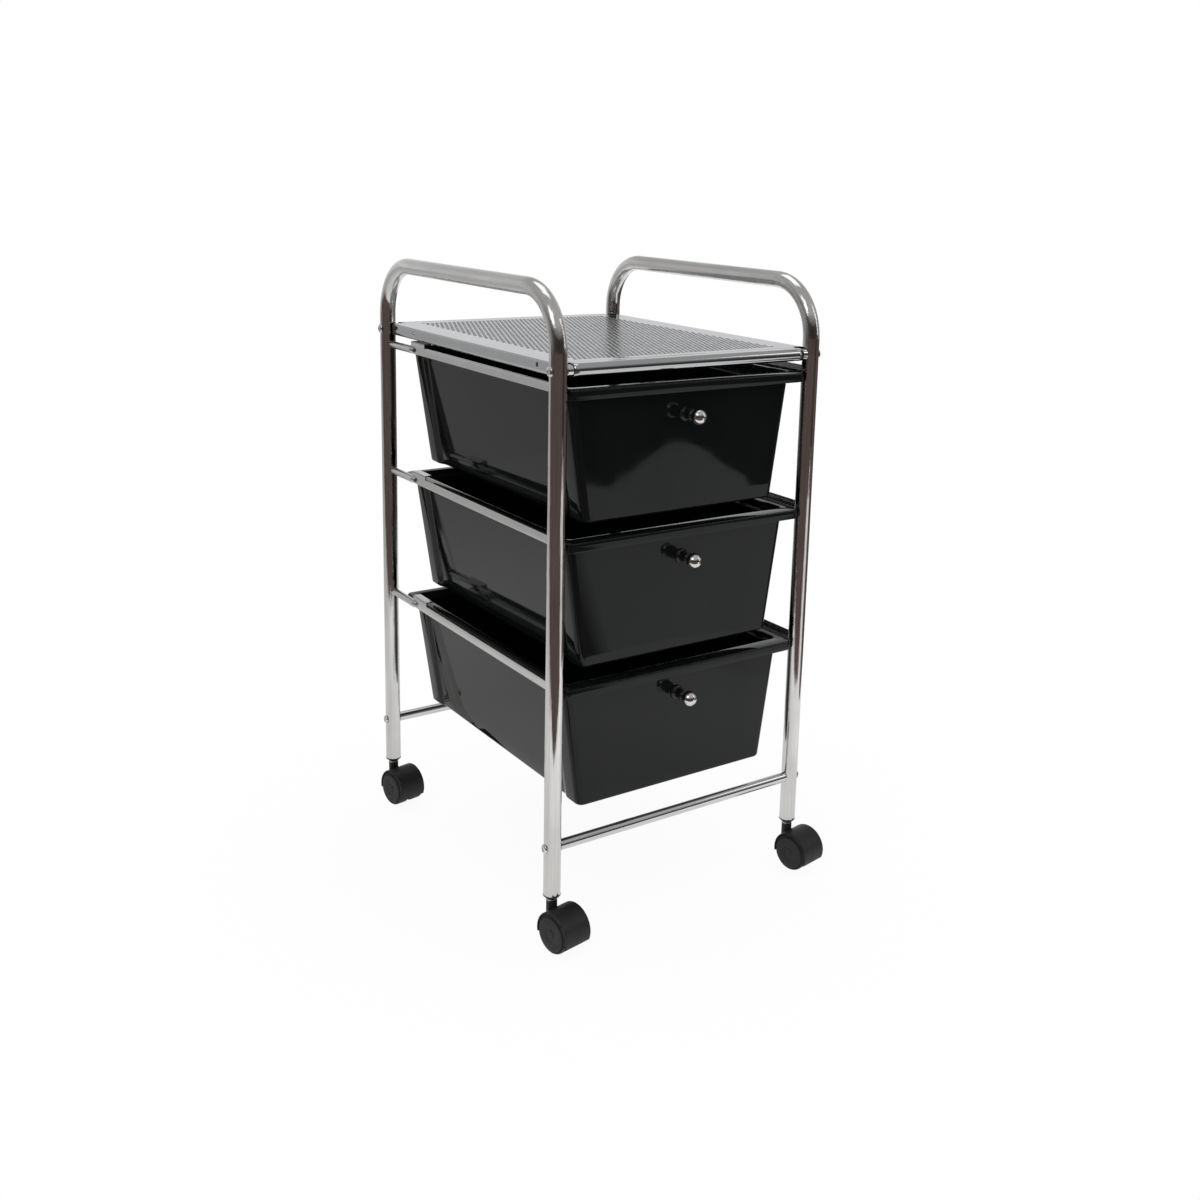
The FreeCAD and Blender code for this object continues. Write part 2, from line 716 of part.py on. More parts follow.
def build_knob_neck(document, level):
    """Plastic spacer between the drawer front and the ball, with a collar at each end."""
    turn_along_front(document, f"{LEVELS[level]}_knob_neck", level, [
        ("0", "knob_screw_radius + knob_fit"),
        ("0", "knob_base_radius"),
        ("-1.6", "knob_base_radius"),
        ("-3.0", "knob_neck_radius + 0.6"),
        ("-knob_neck_length + 4.6", "knob_neck_radius"),
        ("-knob_neck_length + 3.2", "knob_collar_radius"),
        ("-knob_neck_length + 1.4", "knob_collar_radius"),
        ("-knob_neck_length", "knob_neck_radius"),
        ("-knob_neck_length", "knob_screw_radius + knob_fit"),
    ])


def build_knob_ball(document, level):
    """Polished ball with a flat seat against the neck and a threaded blind hole."""
    seat = "-knob_neck_length"
    depth = "(ball_reach - knob_neck_length)"
    seat_radius = f"sqrt(ball_radius * ball_radius - {depth} * {depth})"
    turn_along_front(document, f"{LEVELS[level]}_knob_ball", level, [
        (seat, "knob_screw_radius + knob_fit / 2"),
        (seat, seat_radius),
        ("-ball_reach", "ball_radius", "ball_radius", 1),
        ("-ball_reach - ball_radius", "0", "ball_radius", 1),
        ("-ball_reach - knob_thread_end - knob_fit", "0"),
        ("-ball_reach - knob_thread_end - knob_fit", "knob_screw_radius + knob_fit / 2"),
    ])


def build_knob_screw(document, level):
    """Screw from inside the drawer, through its wall and the neck, into the ball."""
    head = "(drawer_wall + knob_fit / 2)"
    turn_along_front(document, f"{LEVELS[level]}_knob_screw", level, [
        ("-ball_reach - knob_thread_end", "0"),
        ("-ball_reach - knob_thread_end", "knob_screw_radius"),
        (head, "knob_screw_radius"),
        (head, "knob_head_radius"),
        (f"{head} + knob_head_height / 2", "knob_head_radius"),
        (f"{head} + knob_head_height", "knob_head_radius - 1.6"),
        (f"{head} + knob_head_height", "0"),
    ])


# ---------------------------------------------------------------- casters

def caster_place(side, end, height="0"):
    """Where a caster's stem axis stands."""
    return (f"frame_x + {side} * leg_x", f"frame_y + {end} * leg_y", height)


def build_socket(document, corner, side, end):
    """Plastic plug in the foot of a leg, with a flared cap that covers the cut tube."""
    body = make_body(document, f"{corner}_socket", caster_place(side, end))
    profile = make_sketch(body, f"{corner}_socket_profile", "XZ_Plane")
    plug = "tube_radius - tube_wall - socket_fit"
    cap = "column_top_z + ring_gap + ring_height"
    trace(profile, [
        ("stem_radius + socket_fit", cap),
        ("ring_radius", cap),
        ("tube_radius + cap_proud", "foot_z - cap_height"),
        ("tube_radius + cap_proud", "foot_z"),
        (plug, "foot_z"),
        (plug, "socket_top_z - 2"),
        (f"{plug} - 1.5", "socket_top_z"),
        ("stem_radius + socket_fit", "socket_top_z"),
    ])
    revolve(body, f"{corner}_socket_turned", profile)


def build_stem(document, corner, side, end):
    """Steel pin that the caster turns on, with the bright ring that it seats against."""
    body = make_body(document, f"{corner}_stem", caster_place(side, end))
    profile = make_sketch(body, f"{corner}_stem_profile", "XZ_Plane")
    ring_base = "column_top_z + ring_gap"
    trace(profile, [
        ("0", "stem_base_z"),
        ("stem_radius - 0.6", "stem_base_z"),
        ("stem_radius", "stem_base_z + 0.6"),
        ("stem_radius", ring_base),
        ("ring_radius", ring_base),
        ("ring_radius", f"{ring_base} + ring_height"),
        ("stem_radius", f"{ring_base} + ring_height"),
        ("stem_radius", "stem_top_z - 4"),
        ("stem_radius - 1.2", "stem_top_z - 2.6"),
        ("stem_radius - 1.2", "stem_top_z - 1.6"),
        ("stem_radius - 0.4", "stem_top_z - 0.8"),
        ("stem_radius - 1.6", "stem_top_z"),
        ("0", "stem_top_z"),
    ])
    revolve(body, f"{corner}_stem_turned", profile)


def build_hood(document, corner, side, end):
    """Hood over both wheels with the web between them and the column round the stem."""
    body = make_body(document, f"{corner}_hood", caster_place(side, end), turned=True)
    drum = make_sketch(body, f"{corner}_hood_drum_plan", "YZ_Plane")
    draw_circle(drum, "-trail", "wheel_radius", "hood_outer_radius")
    pad(body, f"{corner}_hood_drum", drum, "2 * hood_half_width", midplane=True)
    round_edges(body, f"{corner}_hood_shoulders",
                lambda edge: isinstance(edge.Curve, Part.Circle), "hood_shoulder")
    document.recompute()
    column = make_sketch(body, f"{corner}_hood_column_plan", "XY_Plane", "wheel_radius")
    draw_circle(column, "0", "0", "column_radius")
    pad(body, f"{corner}_hood_column", column, "column_top_z - wheel_radius")
    document.recompute()
    for way in (-1, 1):
        name = "left" if way < 0 else "right"
        bay = make_sketch(body, f"{corner}_hood_{name}_bay_plan", "YZ_Plane",
                          f"{way} * web_half_width")
        draw_circle(bay, "-trail", "wheel_radius", "hood_inner_radius")
        pocket(body, f"{corner}_hood_{name}_bay", bay, "hood_half_width",
               backwards=way > 0)
    skirt = make_sketch(body, f"{corner}_hood_skirt_plan", "YZ_Plane")
    trace(skirt, [
        ("-trail - skirt_reach", "wheel_radius - skirt_rear_drop"),
        ("-trail + skirt_reach", "wheel_radius - skirt_front_drop"),
        ("-trail + skirt_reach", "-wheel_radius"),
        ("-trail - skirt_reach", "-wheel_radius"),
    ])
    pocket(body, f"{corner}_hood_skirt", skirt)
    pin = make_sketch(body, f"{corner}_hood_pin_plan", "YZ_Plane")
    draw_circle(pin, "-trail", "wheel_radius", "axle_radius + axle_fit")
    pocket(body, f"{corner}_hood_pin_bore", pin)
    bore = make_sketch(body, f"{corner}_hood_stem_plan", "XY_Plane", "column_top_z")
    draw_circle(bore, "0", "0", "stem_bore_radius")
    pocket(body, f"{corner}_hood_stem_bore", bore, "column_top_z - stem_base_z + 2 * ring_gap")


def turned_on_axle(document, label, side, end, corners):
    """A body turned about a caster's axle, drawn about the stem and turned with it."""
    body = make_body(document, label, caster_place(side, end, "wheel_radius"), turned=True)
    profile = make_sketch(body, f"{label}_profile", "XY_Plane")
    trace(profile, corners)
    axle_line = "-trail"
    feature = body.newObject("PartDesign::Revolution", f"{label}_turned")
    guide = profile.addGeometry(
        Part.LineSegment(Vector(-30, number(profile, axle_line), 0),
                         Vector(30, number(profile, axle_line), 0)), True)
    profile.addConstraint(Sketcher.Constraint("Horizontal", guide))
    pin_coordinate(profile, "DistanceY", guide, 1, axle_line)
    feature.Profile = profile
    feature.ReferenceAxis = (profile, ["Axis0"])
    feature.Angle = 360
    document.recompute()
    return body


def build_axle(document, corner, side, end):
    """Pin pressed through the hood's web, on which both wheels turn."""
    turned_on_axle(document, f"{corner}_axle", side, end, [
        ("-axle_half_length", "-trail"),
        ("-axle_half_length", "-trail + axle_radius - axle_bevel"),
        ("-axle_half_length + axle_bevel", "-trail + axle_radius"),
        ("axle_half_length - axle_bevel", "-trail + axle_radius"),
        ("axle_half_length", "-trail + axle_radius - axle_bevel"),
        ("axle_half_length", "-trail"),
    ])


def build_wheel(document, corner, side, end, way_name, way):
    """Moulded wheel: tread, outer disc with a groove round it, and a blind hub."""
    def at(x, radius):
        return (f"{way} * ({x})", f"-trail + {radius}")

    bore_end = "axle_half_length + axle_bevel"
    turned_on_axle(document, f"{corner}_{way_name}_wheel", side, end, [
        at("wheel_inner_x", "wheel_bore_radius"),
        at("wheel_inner_x", "hub_radius"),
        at("wheel_outer_x - 3.2", "hub_radius"),
        at("wheel_outer_x - 3.2", "wheel_radius - tread_gauge"),
        at("wheel_inner_x + 0.6", "wheel_radius - tread_gauge"),
        at("wheel_inner_x + 0.6", "wheel_radius - 0.6"),
        at("wheel_inner_x + 1.2", "wheel_radius"),
        at("wheel_outer_x - 2.0", "wheel_radius"),
        at("wheel_outer_x - 1.2", "wheel_radius - 0.7"),
        at("wheel_outer_x - 1.2", "wheel_radius - 1.7"),
        at("wheel_outer_x - 0.5", "wheel_radius - 1.9"),
        at("wheel_outer_x", "wheel_radius - 2.9"),
        at("wheel_outer_x", "0.0001"),
        at(bore_end, "0.0001"),
        at(bore_end, "wheel_bore_radius"),
    ])


def build_caster(document, side_name, end_name):
    """All the pieces of one caster, from the leg's socket down to its wheels."""
    side, end = SIDES[side_name], ENDS[end_name]
    corner = f"{end_name}_{side_name}"
    build_socket(document, corner, side, end)
    build_stem(document, corner, side, end)
    build_hood(document, corner, side, end)
    build_axle(document, corner, side, end)
    for way_name, way in SIDES.items():
        build_wheel(document, corner, side, end, way_name, way)


# ---------------------------------------------------------------- whole trolley

def build_trolley(document):
    """Build every sub-part."""
    make_sheet(document)
    for side_name in SIDES:
        build_side_frame(document, side_name)
    for height_name in ("upper", "lower"):
        for end_name in ENDS:
            build_cross_bar(document, height_name, end_name)
    build_frame_screws(document)
    build_tray(document)
    for level in range(len(LEVELS)):
        for side_name in SIDES:
            build_rail(document, side_name, level)
        build_drawer(document, level)
        build_knob_neck(document, level)
        build_knob_ball(document, level)
        build_knob_screw(document, level)
    for side_name in SIDES:
        for end_name in ENDS:
            build_caster(document, side_name, end_name)
    document.recompute()


def sub_parts(document):
    """The objects that are sub-parts: every body, and the two grouped features."""
    bodies = [o for o in document.Objects if o.TypeId == "PartDesign::Body"]
    return bodies + [document.getObject(name) for name in ("frame_screws", "tray")]


def check_document(document):
    """Stop if anything failed to compute or any sub-part isn't a sound solid."""
    for item in document.Objects:
        if "Invalid" in item.State or "Error" in item.State:
            raise ValueError(f"{item.Label} failed: {item.State}")
    for part in sub_parts(document):
        shape = part.Shape
        if shape.isNull() or not shape.isValid() or not shape.Solids:
            raise ValueError(f"{part.Label} isn't a sound solid")


def write_parts(document):
    """Write one STEP file per sub-part."""
    os.makedirs("parts", exist_ok=True)
    for part in sub_parts(document):
        part.Shape.exportStep(f"parts/{part.Label}.step")


def main():
    document = FreeCAD.newDocument("trolley")
    build_trolley(document)
    check_document(document)
    write_parts(document)


main()
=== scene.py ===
"""Rolling storage trolley: detailed pieces, materials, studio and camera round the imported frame.

Metres, in the frame of the CAD.  Places come from the boxes of the CAD nodes; sizes that a
box doesn't give are the CAD's own, written in millimetres and turned into metres by MM.
"""

import math

import bpy
from mathutils import Matrix, Vector


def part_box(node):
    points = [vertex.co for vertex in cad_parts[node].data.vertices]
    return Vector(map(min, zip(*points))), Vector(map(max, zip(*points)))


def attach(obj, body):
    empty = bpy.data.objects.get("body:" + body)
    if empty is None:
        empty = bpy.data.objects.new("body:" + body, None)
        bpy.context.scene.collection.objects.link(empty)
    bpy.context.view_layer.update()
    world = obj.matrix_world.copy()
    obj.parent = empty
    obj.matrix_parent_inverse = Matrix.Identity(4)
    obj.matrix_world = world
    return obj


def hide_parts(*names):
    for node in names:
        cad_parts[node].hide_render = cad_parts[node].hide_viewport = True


MM = 0.001
LEVELS = ("top", "middle", "bottom")
SIDES = {"left": -1, "right": 1}
ENDS = {"front": -1, "rear": 1}

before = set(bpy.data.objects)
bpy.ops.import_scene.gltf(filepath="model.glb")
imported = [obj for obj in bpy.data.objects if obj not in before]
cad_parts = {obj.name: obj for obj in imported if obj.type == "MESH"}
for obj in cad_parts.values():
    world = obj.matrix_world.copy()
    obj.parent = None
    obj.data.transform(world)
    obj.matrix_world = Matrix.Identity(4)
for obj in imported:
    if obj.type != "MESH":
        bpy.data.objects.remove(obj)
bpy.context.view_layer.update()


# ---------------------------------------------------------------- places read from the frame

def middle(node):
    low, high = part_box(node)
    return (Vector(low) + Vector(high)) / 2


left_low, left_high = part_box("left_frame")
right_low, right_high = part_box("right_frame")
TUBE = (left_high[0] - left_low[0]) / 2
LEG_X = {"left": (left_low[0] + left_high[0]) / 2, "right": (right_low[0] + right_high[0]) / 2}
MID_X = (LEG_X["left"] + LEG_X["right"]) / 2
HALF_X = (LEG_X["right"] - LEG_X["left"]) / 2
MID_Y = (left_low[1] + left_high[1]) / 2
HALF_Y = (left_high[1] - left_low[1]) / 2 - TUBE
LEG_Y = {"front": MID_Y - HALF_Y, "rear": MID_Y + HALF_Y}
FOOT_Z = left_low[2]
HANDLE_Z = left_high[2] - TUBE


# ---------------------------------------------------------------- mesh building

def new_piece(name, points, faces, body, stands_for, material, edge_wear_and_highlight_mask=None):
    """A mesh piece that rides a body, stands for CAD nodes and takes a finish."""
    mesh = bpy.data.meshes.new(name)
    mesh.from_pydata([tuple(p) for p in points], [], faces)
    mesh.validate()
    # edge mask: scuffing on metal; scuffing and a painted highlight on black plastic
    if edge_wear_and_highlight_mask is not None:
        layer = mesh.attributes.new("edge_wear_and_highlight_mask", "FLOAT", "POINT")
        layer.data.foreach_set("value", edge_wear_and_highlight_mask)
    piece = bpy.data.objects.new(name, mesh)
    bpy.context.collection.objects.link(piece)
    mesh.materials.append(material)
    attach(piece, body)
    if stands_for:
        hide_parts(*stands_for)
    return piece


def shade(piece, degrees=30):
    """Smooth shading with creases kept sharp past an angle."""
    mesh = piece.data
    mesh.shade_smooth()
    mesh.set_sharp_from_angle(angle=math.radians(degrees))


def soften(corners, steps):
    """Points of a closed outline whose corners are rounded over their own tangent lengths.

    Each corner is (point, tangent length); the rounding is an exact arc where both sides
    are equally long."""
    points = []
    for i, (corner, reach) in enumerate(corners):
        before, after = corners[i - 1][0], corners[(i + 1) % len(corners)][0]
        if reach <= 0:
            points.append(corner.copy())
            continue
        back, ahead = (before - corner).normalized(), (after - corner).normalized()
        weight = math.sin(max(back.angle(ahead), 1e-3) / 2)
        for step in range(steps + 1):
            t = step / steps
            a, b, c = (1 - t) ** 2, 2 * t * (1 - t) * weight, t ** 2
            total = a + b + c
            points.append((a * (corner + back * reach) + b * corner
                           + c * (corner + ahead * reach)) / total)
    return points


def skin(rings, closed_path=False, caps=True):
    """Faces joining rings of equally many points, with flat caps on the first and last."""
    count = len(rings[0])
    points = [p for ring in rings for p in ring]
    faces = []
    pairs = len(rings) if closed_path else len(rings) - 1
    for r in range(pairs):
        a, b = r * count, ((r + 1) % len(rings)) * count
        for i in range(count):
            j = (i + 1) % count
            faces.append((a + i, a + j, b + j, b + i))
    if caps and not closed_path:
        faces.append(tuple(range(count))[::-1])
        last = (len(rings) - 1) * count
        faces.append(tuple(last + i for i in range(count)))
    return points, faces


def sweep(stations, section):
    """Rings of a section carried along stations of (place, across, up)."""
    return [[place + across * u + up * v for u, v in section]
            for place, across, up in stations]


def circle(radius, count):
    return [(radius * math.cos(2 * math.pi * i / count),
             radius * math.sin(2 * math.pi * i / count)) for i in range(count)]


def lathe(profile, place, axis, segments=64):
    """A closed solid turned about an axis.  The profile is (distance along, radius) pairs
    from one end of the axis to the other; radii of nought close it."""
    axis = axis.normalized()
    across = axis.orthogonal().normalized()
    up = axis.cross(across)
    points, faces, rows = [], [], []
    for along, radius in profile:
        centre = place + axis * along
        if radius < 1e-7:
            rows.append([len(points)] * segments)
            points.append(centre)
            continue
        rows.append(list(range(len(points), len(points) + segments)))
        points += [centre + across * u + up * v for u, v in circle(radius, segments)]
    for low, high in zip(rows, rows[1:]):
        for i in range(segments):
            j = (i + 1) % segments
            face = []
            for index in (low[i], low[j], high[j], high[i]):
                if index not in face:
                    face.append(index)
            if len(face) > 2:
                faces.append(tuple(face))
    return points, faces


def rounded_profile(corners, steps=5):
    """Lathe profile in millimetres with rounded corners: (along, radius, rounding) each."""
    out = []
    last = len(corners) - 1
    for i, (along, radius, reach) in enumerate(corners):
        here = Vector((along, radius))
        if reach <= 0 or i in (0, last):
            out.append(here)
            continue
        back = (Vector(corners[i - 1][:2]) - here).normalized()
        ahead = (Vector(corners[i + 1][:2]) - here).normalized()
        weight = math.sin(max(back.angle(ahead), 1e-3) / 2)
        for step in range(steps + 1):
            t = step / steps
            a, b, c = (1 - t) ** 2, 2 * t * (1 - t) * weight, t ** 2
            out.append((a * (here + back * reach) + b * here + c * (here + ahead * reach))
                       / (a + b + c))
    return [(p.x * MM, p.y * MM) for p in out]


# ---------------------------------------------------------------- materials

class Graph:
    """Short names for building a material's nodes."""

    def __init__(self, name):
        self.material = bpy.data.materials.new(name)
        self.material.use_nodes = True
        self.tree = self.material.node_tree
        self.shader = self.tree.nodes["Principled BSDF"]
        coordinates = self.tree.nodes.new("ShaderNodeTexCoord")
        self.place = coordinates.outputs["Object"]

    def add(self, kind, **settings):
        node = self.tree.nodes.new("ShaderNode" + kind)
        for key, value in settings.items():
            setattr(node, key, value)
        return node

    def link(self, source, target):
        self.tree.links.new(source, target)

    def noise(self, scale, detail=3.0, stretch=None, rough=0.5, along=None):
        node = self.add("TexNoise")
        node.inputs["Scale"].default_value = scale
        node.inputs["Detail"].default_value = detail
        node.inputs["Roughness"].default_value = rough
        if along:
            self.link(along, node.inputs["Vector"])
        elif stretch:
            mapping = self.add("Mapping")
            mapping.inputs["Scale"].default_value = stretch
            self.link(self.place, mapping.inputs["Vector"])
            self.link(mapping.outputs["Vector"], node.inputs["Vector"])
        else:
            self.link(self.place, node.inputs["Vector"])
        return node.outputs["Fac"]

    def span(self, source, low, high, from_low=0.3, from_high=0.7):
        node = self.add("MapRange")
        self.link(source, node.inputs["Value"])
        for key, value in (("From Min", from_low), ("From Max", from_high),
                           ("To Min", low), ("To Max", high)):
            node.inputs[key].default_value = value
        return node.outputs["Result"]

    def blend(self, factor, first, second):
        node = self.add("Mix", data_type="RGBA")
        self.link(factor, node.inputs["Factor"])
        for socket, value in ((node.inputs[6], first), (node.inputs[7], second)):
            if isinstance(value, tuple):
                socket.default_value = (*value, 1)
            else:
                self.link(value, socket)
        return node.outputs[2]

    def maths(self, kind, first, second):
        node = self.add("Math", operation=kind)
        for socket, value in zip(node.inputs, (first, second)):
            if isinstance(value, (int, float)):
                socket.default_value = value
            else:
                self.link(value, socket)
        return node.outputs[0]

    def edge_wear_and_highlight(self, strength, scale=160):
        """How strongly the edges are marked: the mesh's own edge mask broken up by noise; on metal
        it roughens them, on black plastic it also paints them lighter as rubbing and as a painted
        highlight.
        """
        attribute = self.add("Attribute", attribute_name="edge_wear_and_highlight_mask")
        patches = self.span(self.noise(scale, 4), 0, 1, 0.42, 0.62)
        return self.maths("MULTIPLY", self.maths("MULTIPLY", attribute.outputs["Fac"], patches),
                          strength)

    def bump(self, *layers):
        """Chain of bumps: (height source, depth in metres, strength)."""
        previous = None
        for height, depth, strength in layers:
            node = self.add("Bump")
            node.inputs["Distance"].default_value = depth
            node.inputs["Strength"].default_value = strength
            self.link(height, node.inputs["Height"])
            if previous:
                self.link(previous, node.inputs["Normal"])
            previous = node.outputs["Normal"]
        self.link(previous, self.shader.inputs["Normal"])

    def finish(self, colour=None, rough=None, **fixed):
        if colour is not None:
            self.link(colour, self.shader.inputs["Base Color"])
        if rough is not None:
            self.link(rough, self.shader.inputs["Roughness"])
        for key, value in fixed.items():
            self.shader.inputs[key.replace("_", " ")].default_value = value
        return self.material


def plated(name, light, dark, rough_low, rough_high, grain=None, ripple=0.00004, edge_wear_and_highlight=0.0,
           drawn=0.0):
    """Chrome or zinc plate: cloudy polish, fine grain and a faint ripple."""
    g = Graph(name)
    cloud = g.noise(22, 4)
    colour = g.blend(g.span(cloud, 0, 1), light, dark)
    rough = g.span(g.noise(70, 5, grain), rough_low, rough_high)
    if edge_wear_and_highlight:
        edge = g.edge_wear_and_highlight(edge_wear_and_highlight)
        rough = g.maths("ADD", rough, edge)
    specks = g.noise(1400, 2)
    layers = [(g.noise(9, 2), ripple * 4, 0.35), (g.noise(160, 3, grain), ripple, 0.25),
              (specks, 0.00001, 0.12)]
    if drawn:
        # lines left along the tube when it was drawn and bent
        around = g.add("Attribute", attribute_name="around").outputs["Vector"]
        lines = g.noise(3.2, 4, along=around, rough=0.7)
        layers.insert(0, (lines, drawn, 0.6))
        colour = g.blend(g.span(lines, 0, 1, 0.40, 0.60), dark, colour)
    g.bump(*layers)
    return g.finish(colour, rough, Metallic=1.0)


def moulded(name, base, raised, rough_low, rough_high, texture, depth, edge_wear_and_highlight=0.5, sink=0.0,
            gloss=0.25):
    """Black plastic: flow marks, moulded grain, and edges painted lighter, partly as rubbing and
    partly as a painted highlight.
    """
    g = Graph(name)
    flow = g.noise(14, 5, (1, 1, 0.35))
    colour = g.blend(g.span(flow, 0, 1), base, raised)
    edge = g.edge_wear_and_highlight(edge_wear_and_highlight)
    # lighter edge colour: partly rubbed plastic, partly a painted highlight along rims and edges
    edge_highlight_tone = tuple(min(1, c * 2.6 + 0.012) for c in raised)
    colour = g.blend(edge, colour, edge_highlight_tone)
    rough = g.span(g.noise(60, 5), rough_low, rough_high)
    rough = g.maths("ADD", rough, g.maths("MULTIPLY", edge, 0.25))
    layers = [(g.noise(texture, 3), depth, 0.3), (g.noise(texture / 6, 2), depth * 3, 0.15)]
    if sink:
        layers.insert(0, (g.noise(7.5, 1.5, (1, 1, 1.3)), sink, 0.5))
    g.bump(*layers)
    return g.finish(colour, rough, Specular_IOR_Level=gloss)


TUBE_CHROME = plated("tube_chrome", (0.86, 0.86, 0.85), (0.68, 0.67, 0.66), 0.02, 0.06,
                     drawn=0.0004)
BAR_CHROME = plated("bar_chrome", (0.78, 0.78, 0.79), (0.70, 0.70, 0.71), 0.05, 0.13)
RAIL_STEEL = plated("rail_steel", (0.66, 0.66, 0.65), (0.60, 0.60, 0.60), 0.14, 0.20,
                    (4, 0.2, 4), ripple=0.00001, edge_wear_and_highlight=0.08)
TRAY_STEEL = plated("tray_steel", (0.57, 0.58, 0.59), (0.53, 0.54, 0.55), 0.06, 0.10,
                    (1, 0.2, 1), ripple=0.00001, edge_wear_and_highlight=0.10)
# near-black finish for the hole walls and cut edges of the tray: painted shade inside the holes
# and along the edges
CUT_EDGE_PAINTED_SHADE = plated("cut_edge_painted_shade", (0.045, 0.045, 0.05), (0.02, 0.02, 0.022), 0.45, 0.6)
SCREW_CHROME = plated("screw_chrome", (0.84, 0.84, 0.84), (0.74, 0.74, 0.74), 0.05, 0.12)
BALL_CHROME = plated("ball_chrome", (0.82, 0.82, 0.82), (0.76, 0.76, 0.76), 0.02, 0.07)
PIN_STEEL = plated("pin_steel", (0.60, 0.60, 0.60), (0.48, 0.48, 0.48), 0.22, 0.38)
DRAWER_BLACK = moulded("drawer_black", (0.0030, 0.0041, 0.0038), (0.0046, 0.0058, 0.0054),
                       0.025, 0.06, 500, 0.000004, edge_wear_and_highlight=0.30, sink=0.0003, gloss=0.28)
KNOB_BLACK = moulded("knob_black", (0.005, 0.005, 0.005), (0.008, 0.008, 0.008),
                     0.05, 0.14, 900, 0.00002, gloss=0.5)
SOCKET_BLACK = moulded("socket_black", (0.012, 0.012, 0.012), (0.020, 0.020, 0.020),
                       0.32, 0.50, 1200, 0.00003)
HOOD_BLACK = moulded("hood_black", (0.0095, 0.0098, 0.0102), (0.0150, 0.0152, 0.0156),
                     0.34, 0.50, 1600, 0.00005, edge_wear_and_highlight=0.0)
WHEEL_BLACK = moulded("wheel_black", (0.0075, 0.0077, 0.0080), (0.0120, 0.0122, 0.0126),
                      0.36, 0.54, 1300, 0.00004, edge_wear_and_highlight=0.7)


# ---------------------------------------------------------------- side frames and bars

def build_side_frame(side_name):
    """The bent tube, hollow, with its bends turned in fine steps."""
    bend, wall, around, bend_steps = 58 * MM, 1 * MM, 64, 40
    x = LEG_X[side_name]
    path = []

    def station(y, z, angle):
        # angle is how far the path has turned from straight up towards +Y
        across = Vector((1, 0, 0))
        ahead = Vector((0, math.sin(angle), math.cos(angle)))
        path.append((Vector((x, y, z)), across, ahead.cross(across)))

    front, rear, top = LEG_Y["front"], LEG_Y["rear"], HANDLE_Z
    straight = 12
    for i in range(straight):
        station(front, FOOT_Z + (top - bend - FOOT_Z) * i / straight, 0)
    for i in range(bend_steps + 1):
        a = math.pi / 2 * i / bend_steps
        station(front + bend * (1 - math.cos(a)), top - bend * (1 - math.sin(a)), a)
    for i in range(1, straight):
        station(front + bend + (rear - front - 2 * bend) * i / straight, top, math.pi / 2)
    for i in range(bend_steps + 1):
        a = math.pi / 2 * i / bend_steps
        station(rear - bend * (1 - math.sin(a)), top - bend * (1 - math.cos(a)),
                math.pi / 2 + a)
    for i in range(1, straight + 1):
        station(rear, top - bend + (FOOT_Z - top + bend) * i / straight, math.pi)
    outer = sweep(path, circle(TUBE, around))
    inner = sweep(path, circle(TUBE - wall, around))
    points, faces = skin(outer + inner[::-1], closed_path=True)
    piece = new_piece(f"{side_name}_bent_tube", points, faces, "frame",
                      [f"{side_name}_frame"], TUBE_CHROME)
    mark_around(piece, around)
    shade(piece)


def mark_around(piece, around):
    """Store each point's place round its tube, so that marks can follow the tube."""
    marks = piece.data.attributes.new("around", "FLOAT_VECTOR", "POINT")
    for i, mark in enumerate(marks.data):
        angle = 2 * math.pi * (i % around) / around
        mark.vector = (math.cos(angle), math.sin(angle), 0.06 * (i // around))


def build_bar(height_name, end_name):
    node = f"{height_name}_{end_name}_bar"
    place = middle(node)
    low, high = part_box(node)
    radius = (high[2] - low[2]) / 2
    reach = HALF_X - TUBE + 1.2 * MM
    profile = [(-reach, 0), (-reach, radius - 0.5 * MM), (-reach + 0.5 * MM, radius)]
    steps = 10
    profile += [(-reach + 2 * reach * i / steps, radius) for i in range(1, steps)]
    profile += [(reach - 0.5 * MM, radius), (reach, radius - 0.5 * MM), (reach, 0)]
    points, faces = lathe(profile, Vector((MID_X, place.y, place.z)), Vector((1, 0, 0)), 48)
    shade(new_piece(f"{node}_rod", points, faces, "frame", [node], BAR_CHROME))


def build_screw_heads():
    """Eight low domed heads, each with a pressed cross, and their shanks."""
    points, faces = [], []
    head, height, arm, arm_half, sink = 4.9 * MM, 2.4 * MM, 2.7 * MM, 0.6 * MM, 1.1 * MM
    profile = [(-2.0 * MM, 0), (-2.0 * MM, 2.4 * MM), (-0.05 * MM, 2.4 * MM), (0, head - 0.3 * MM),
               (0.25 * MM, head), (0.7 * MM, head)]
    steps = 22
    for i in range(1, steps + 1):
        radius = head * (1 - i / steps)
        profile.append((0.7 * MM + (height - 0.7 * MM) * math.sqrt(1 - (radius / head) ** 2),
                        radius))
    for side_name, side in SIDES.items():
        for end_name in ENDS:
            for height_name in ("upper", "lower"):
                z = middle(f"{height_name}_{end_name}_bar").z
                seat = Vector((LEG_X[side_name] + side * TUBE, LEG_Y[end_name], z))
                out = Vector((side, 0, 0))
                more, more_faces = lathe(profile, seat, out, 96)
                for p in more:
                    rise = (p - seat).dot(out)
                    across, up = abs(p.y - seat.y), abs(p.z - seat.z)
                    long, short = max(across, up), min(across, up)
                    if rise > 1.0 * MM and long < arm and short < arm_half:
                        p -= out * sink * min(1.0, (arm - long) / (0.8 * MM))
                shift = len(points)
                points += more
                faces += [tuple(shift + i for i in face) for face in more_faces]
    shade(new_piece("frame_screw_heads", points, faces, "frame", ["frame_screws"],
                    SCREW_CHROME), 32)


# ---------------------------------------------------------------- rails

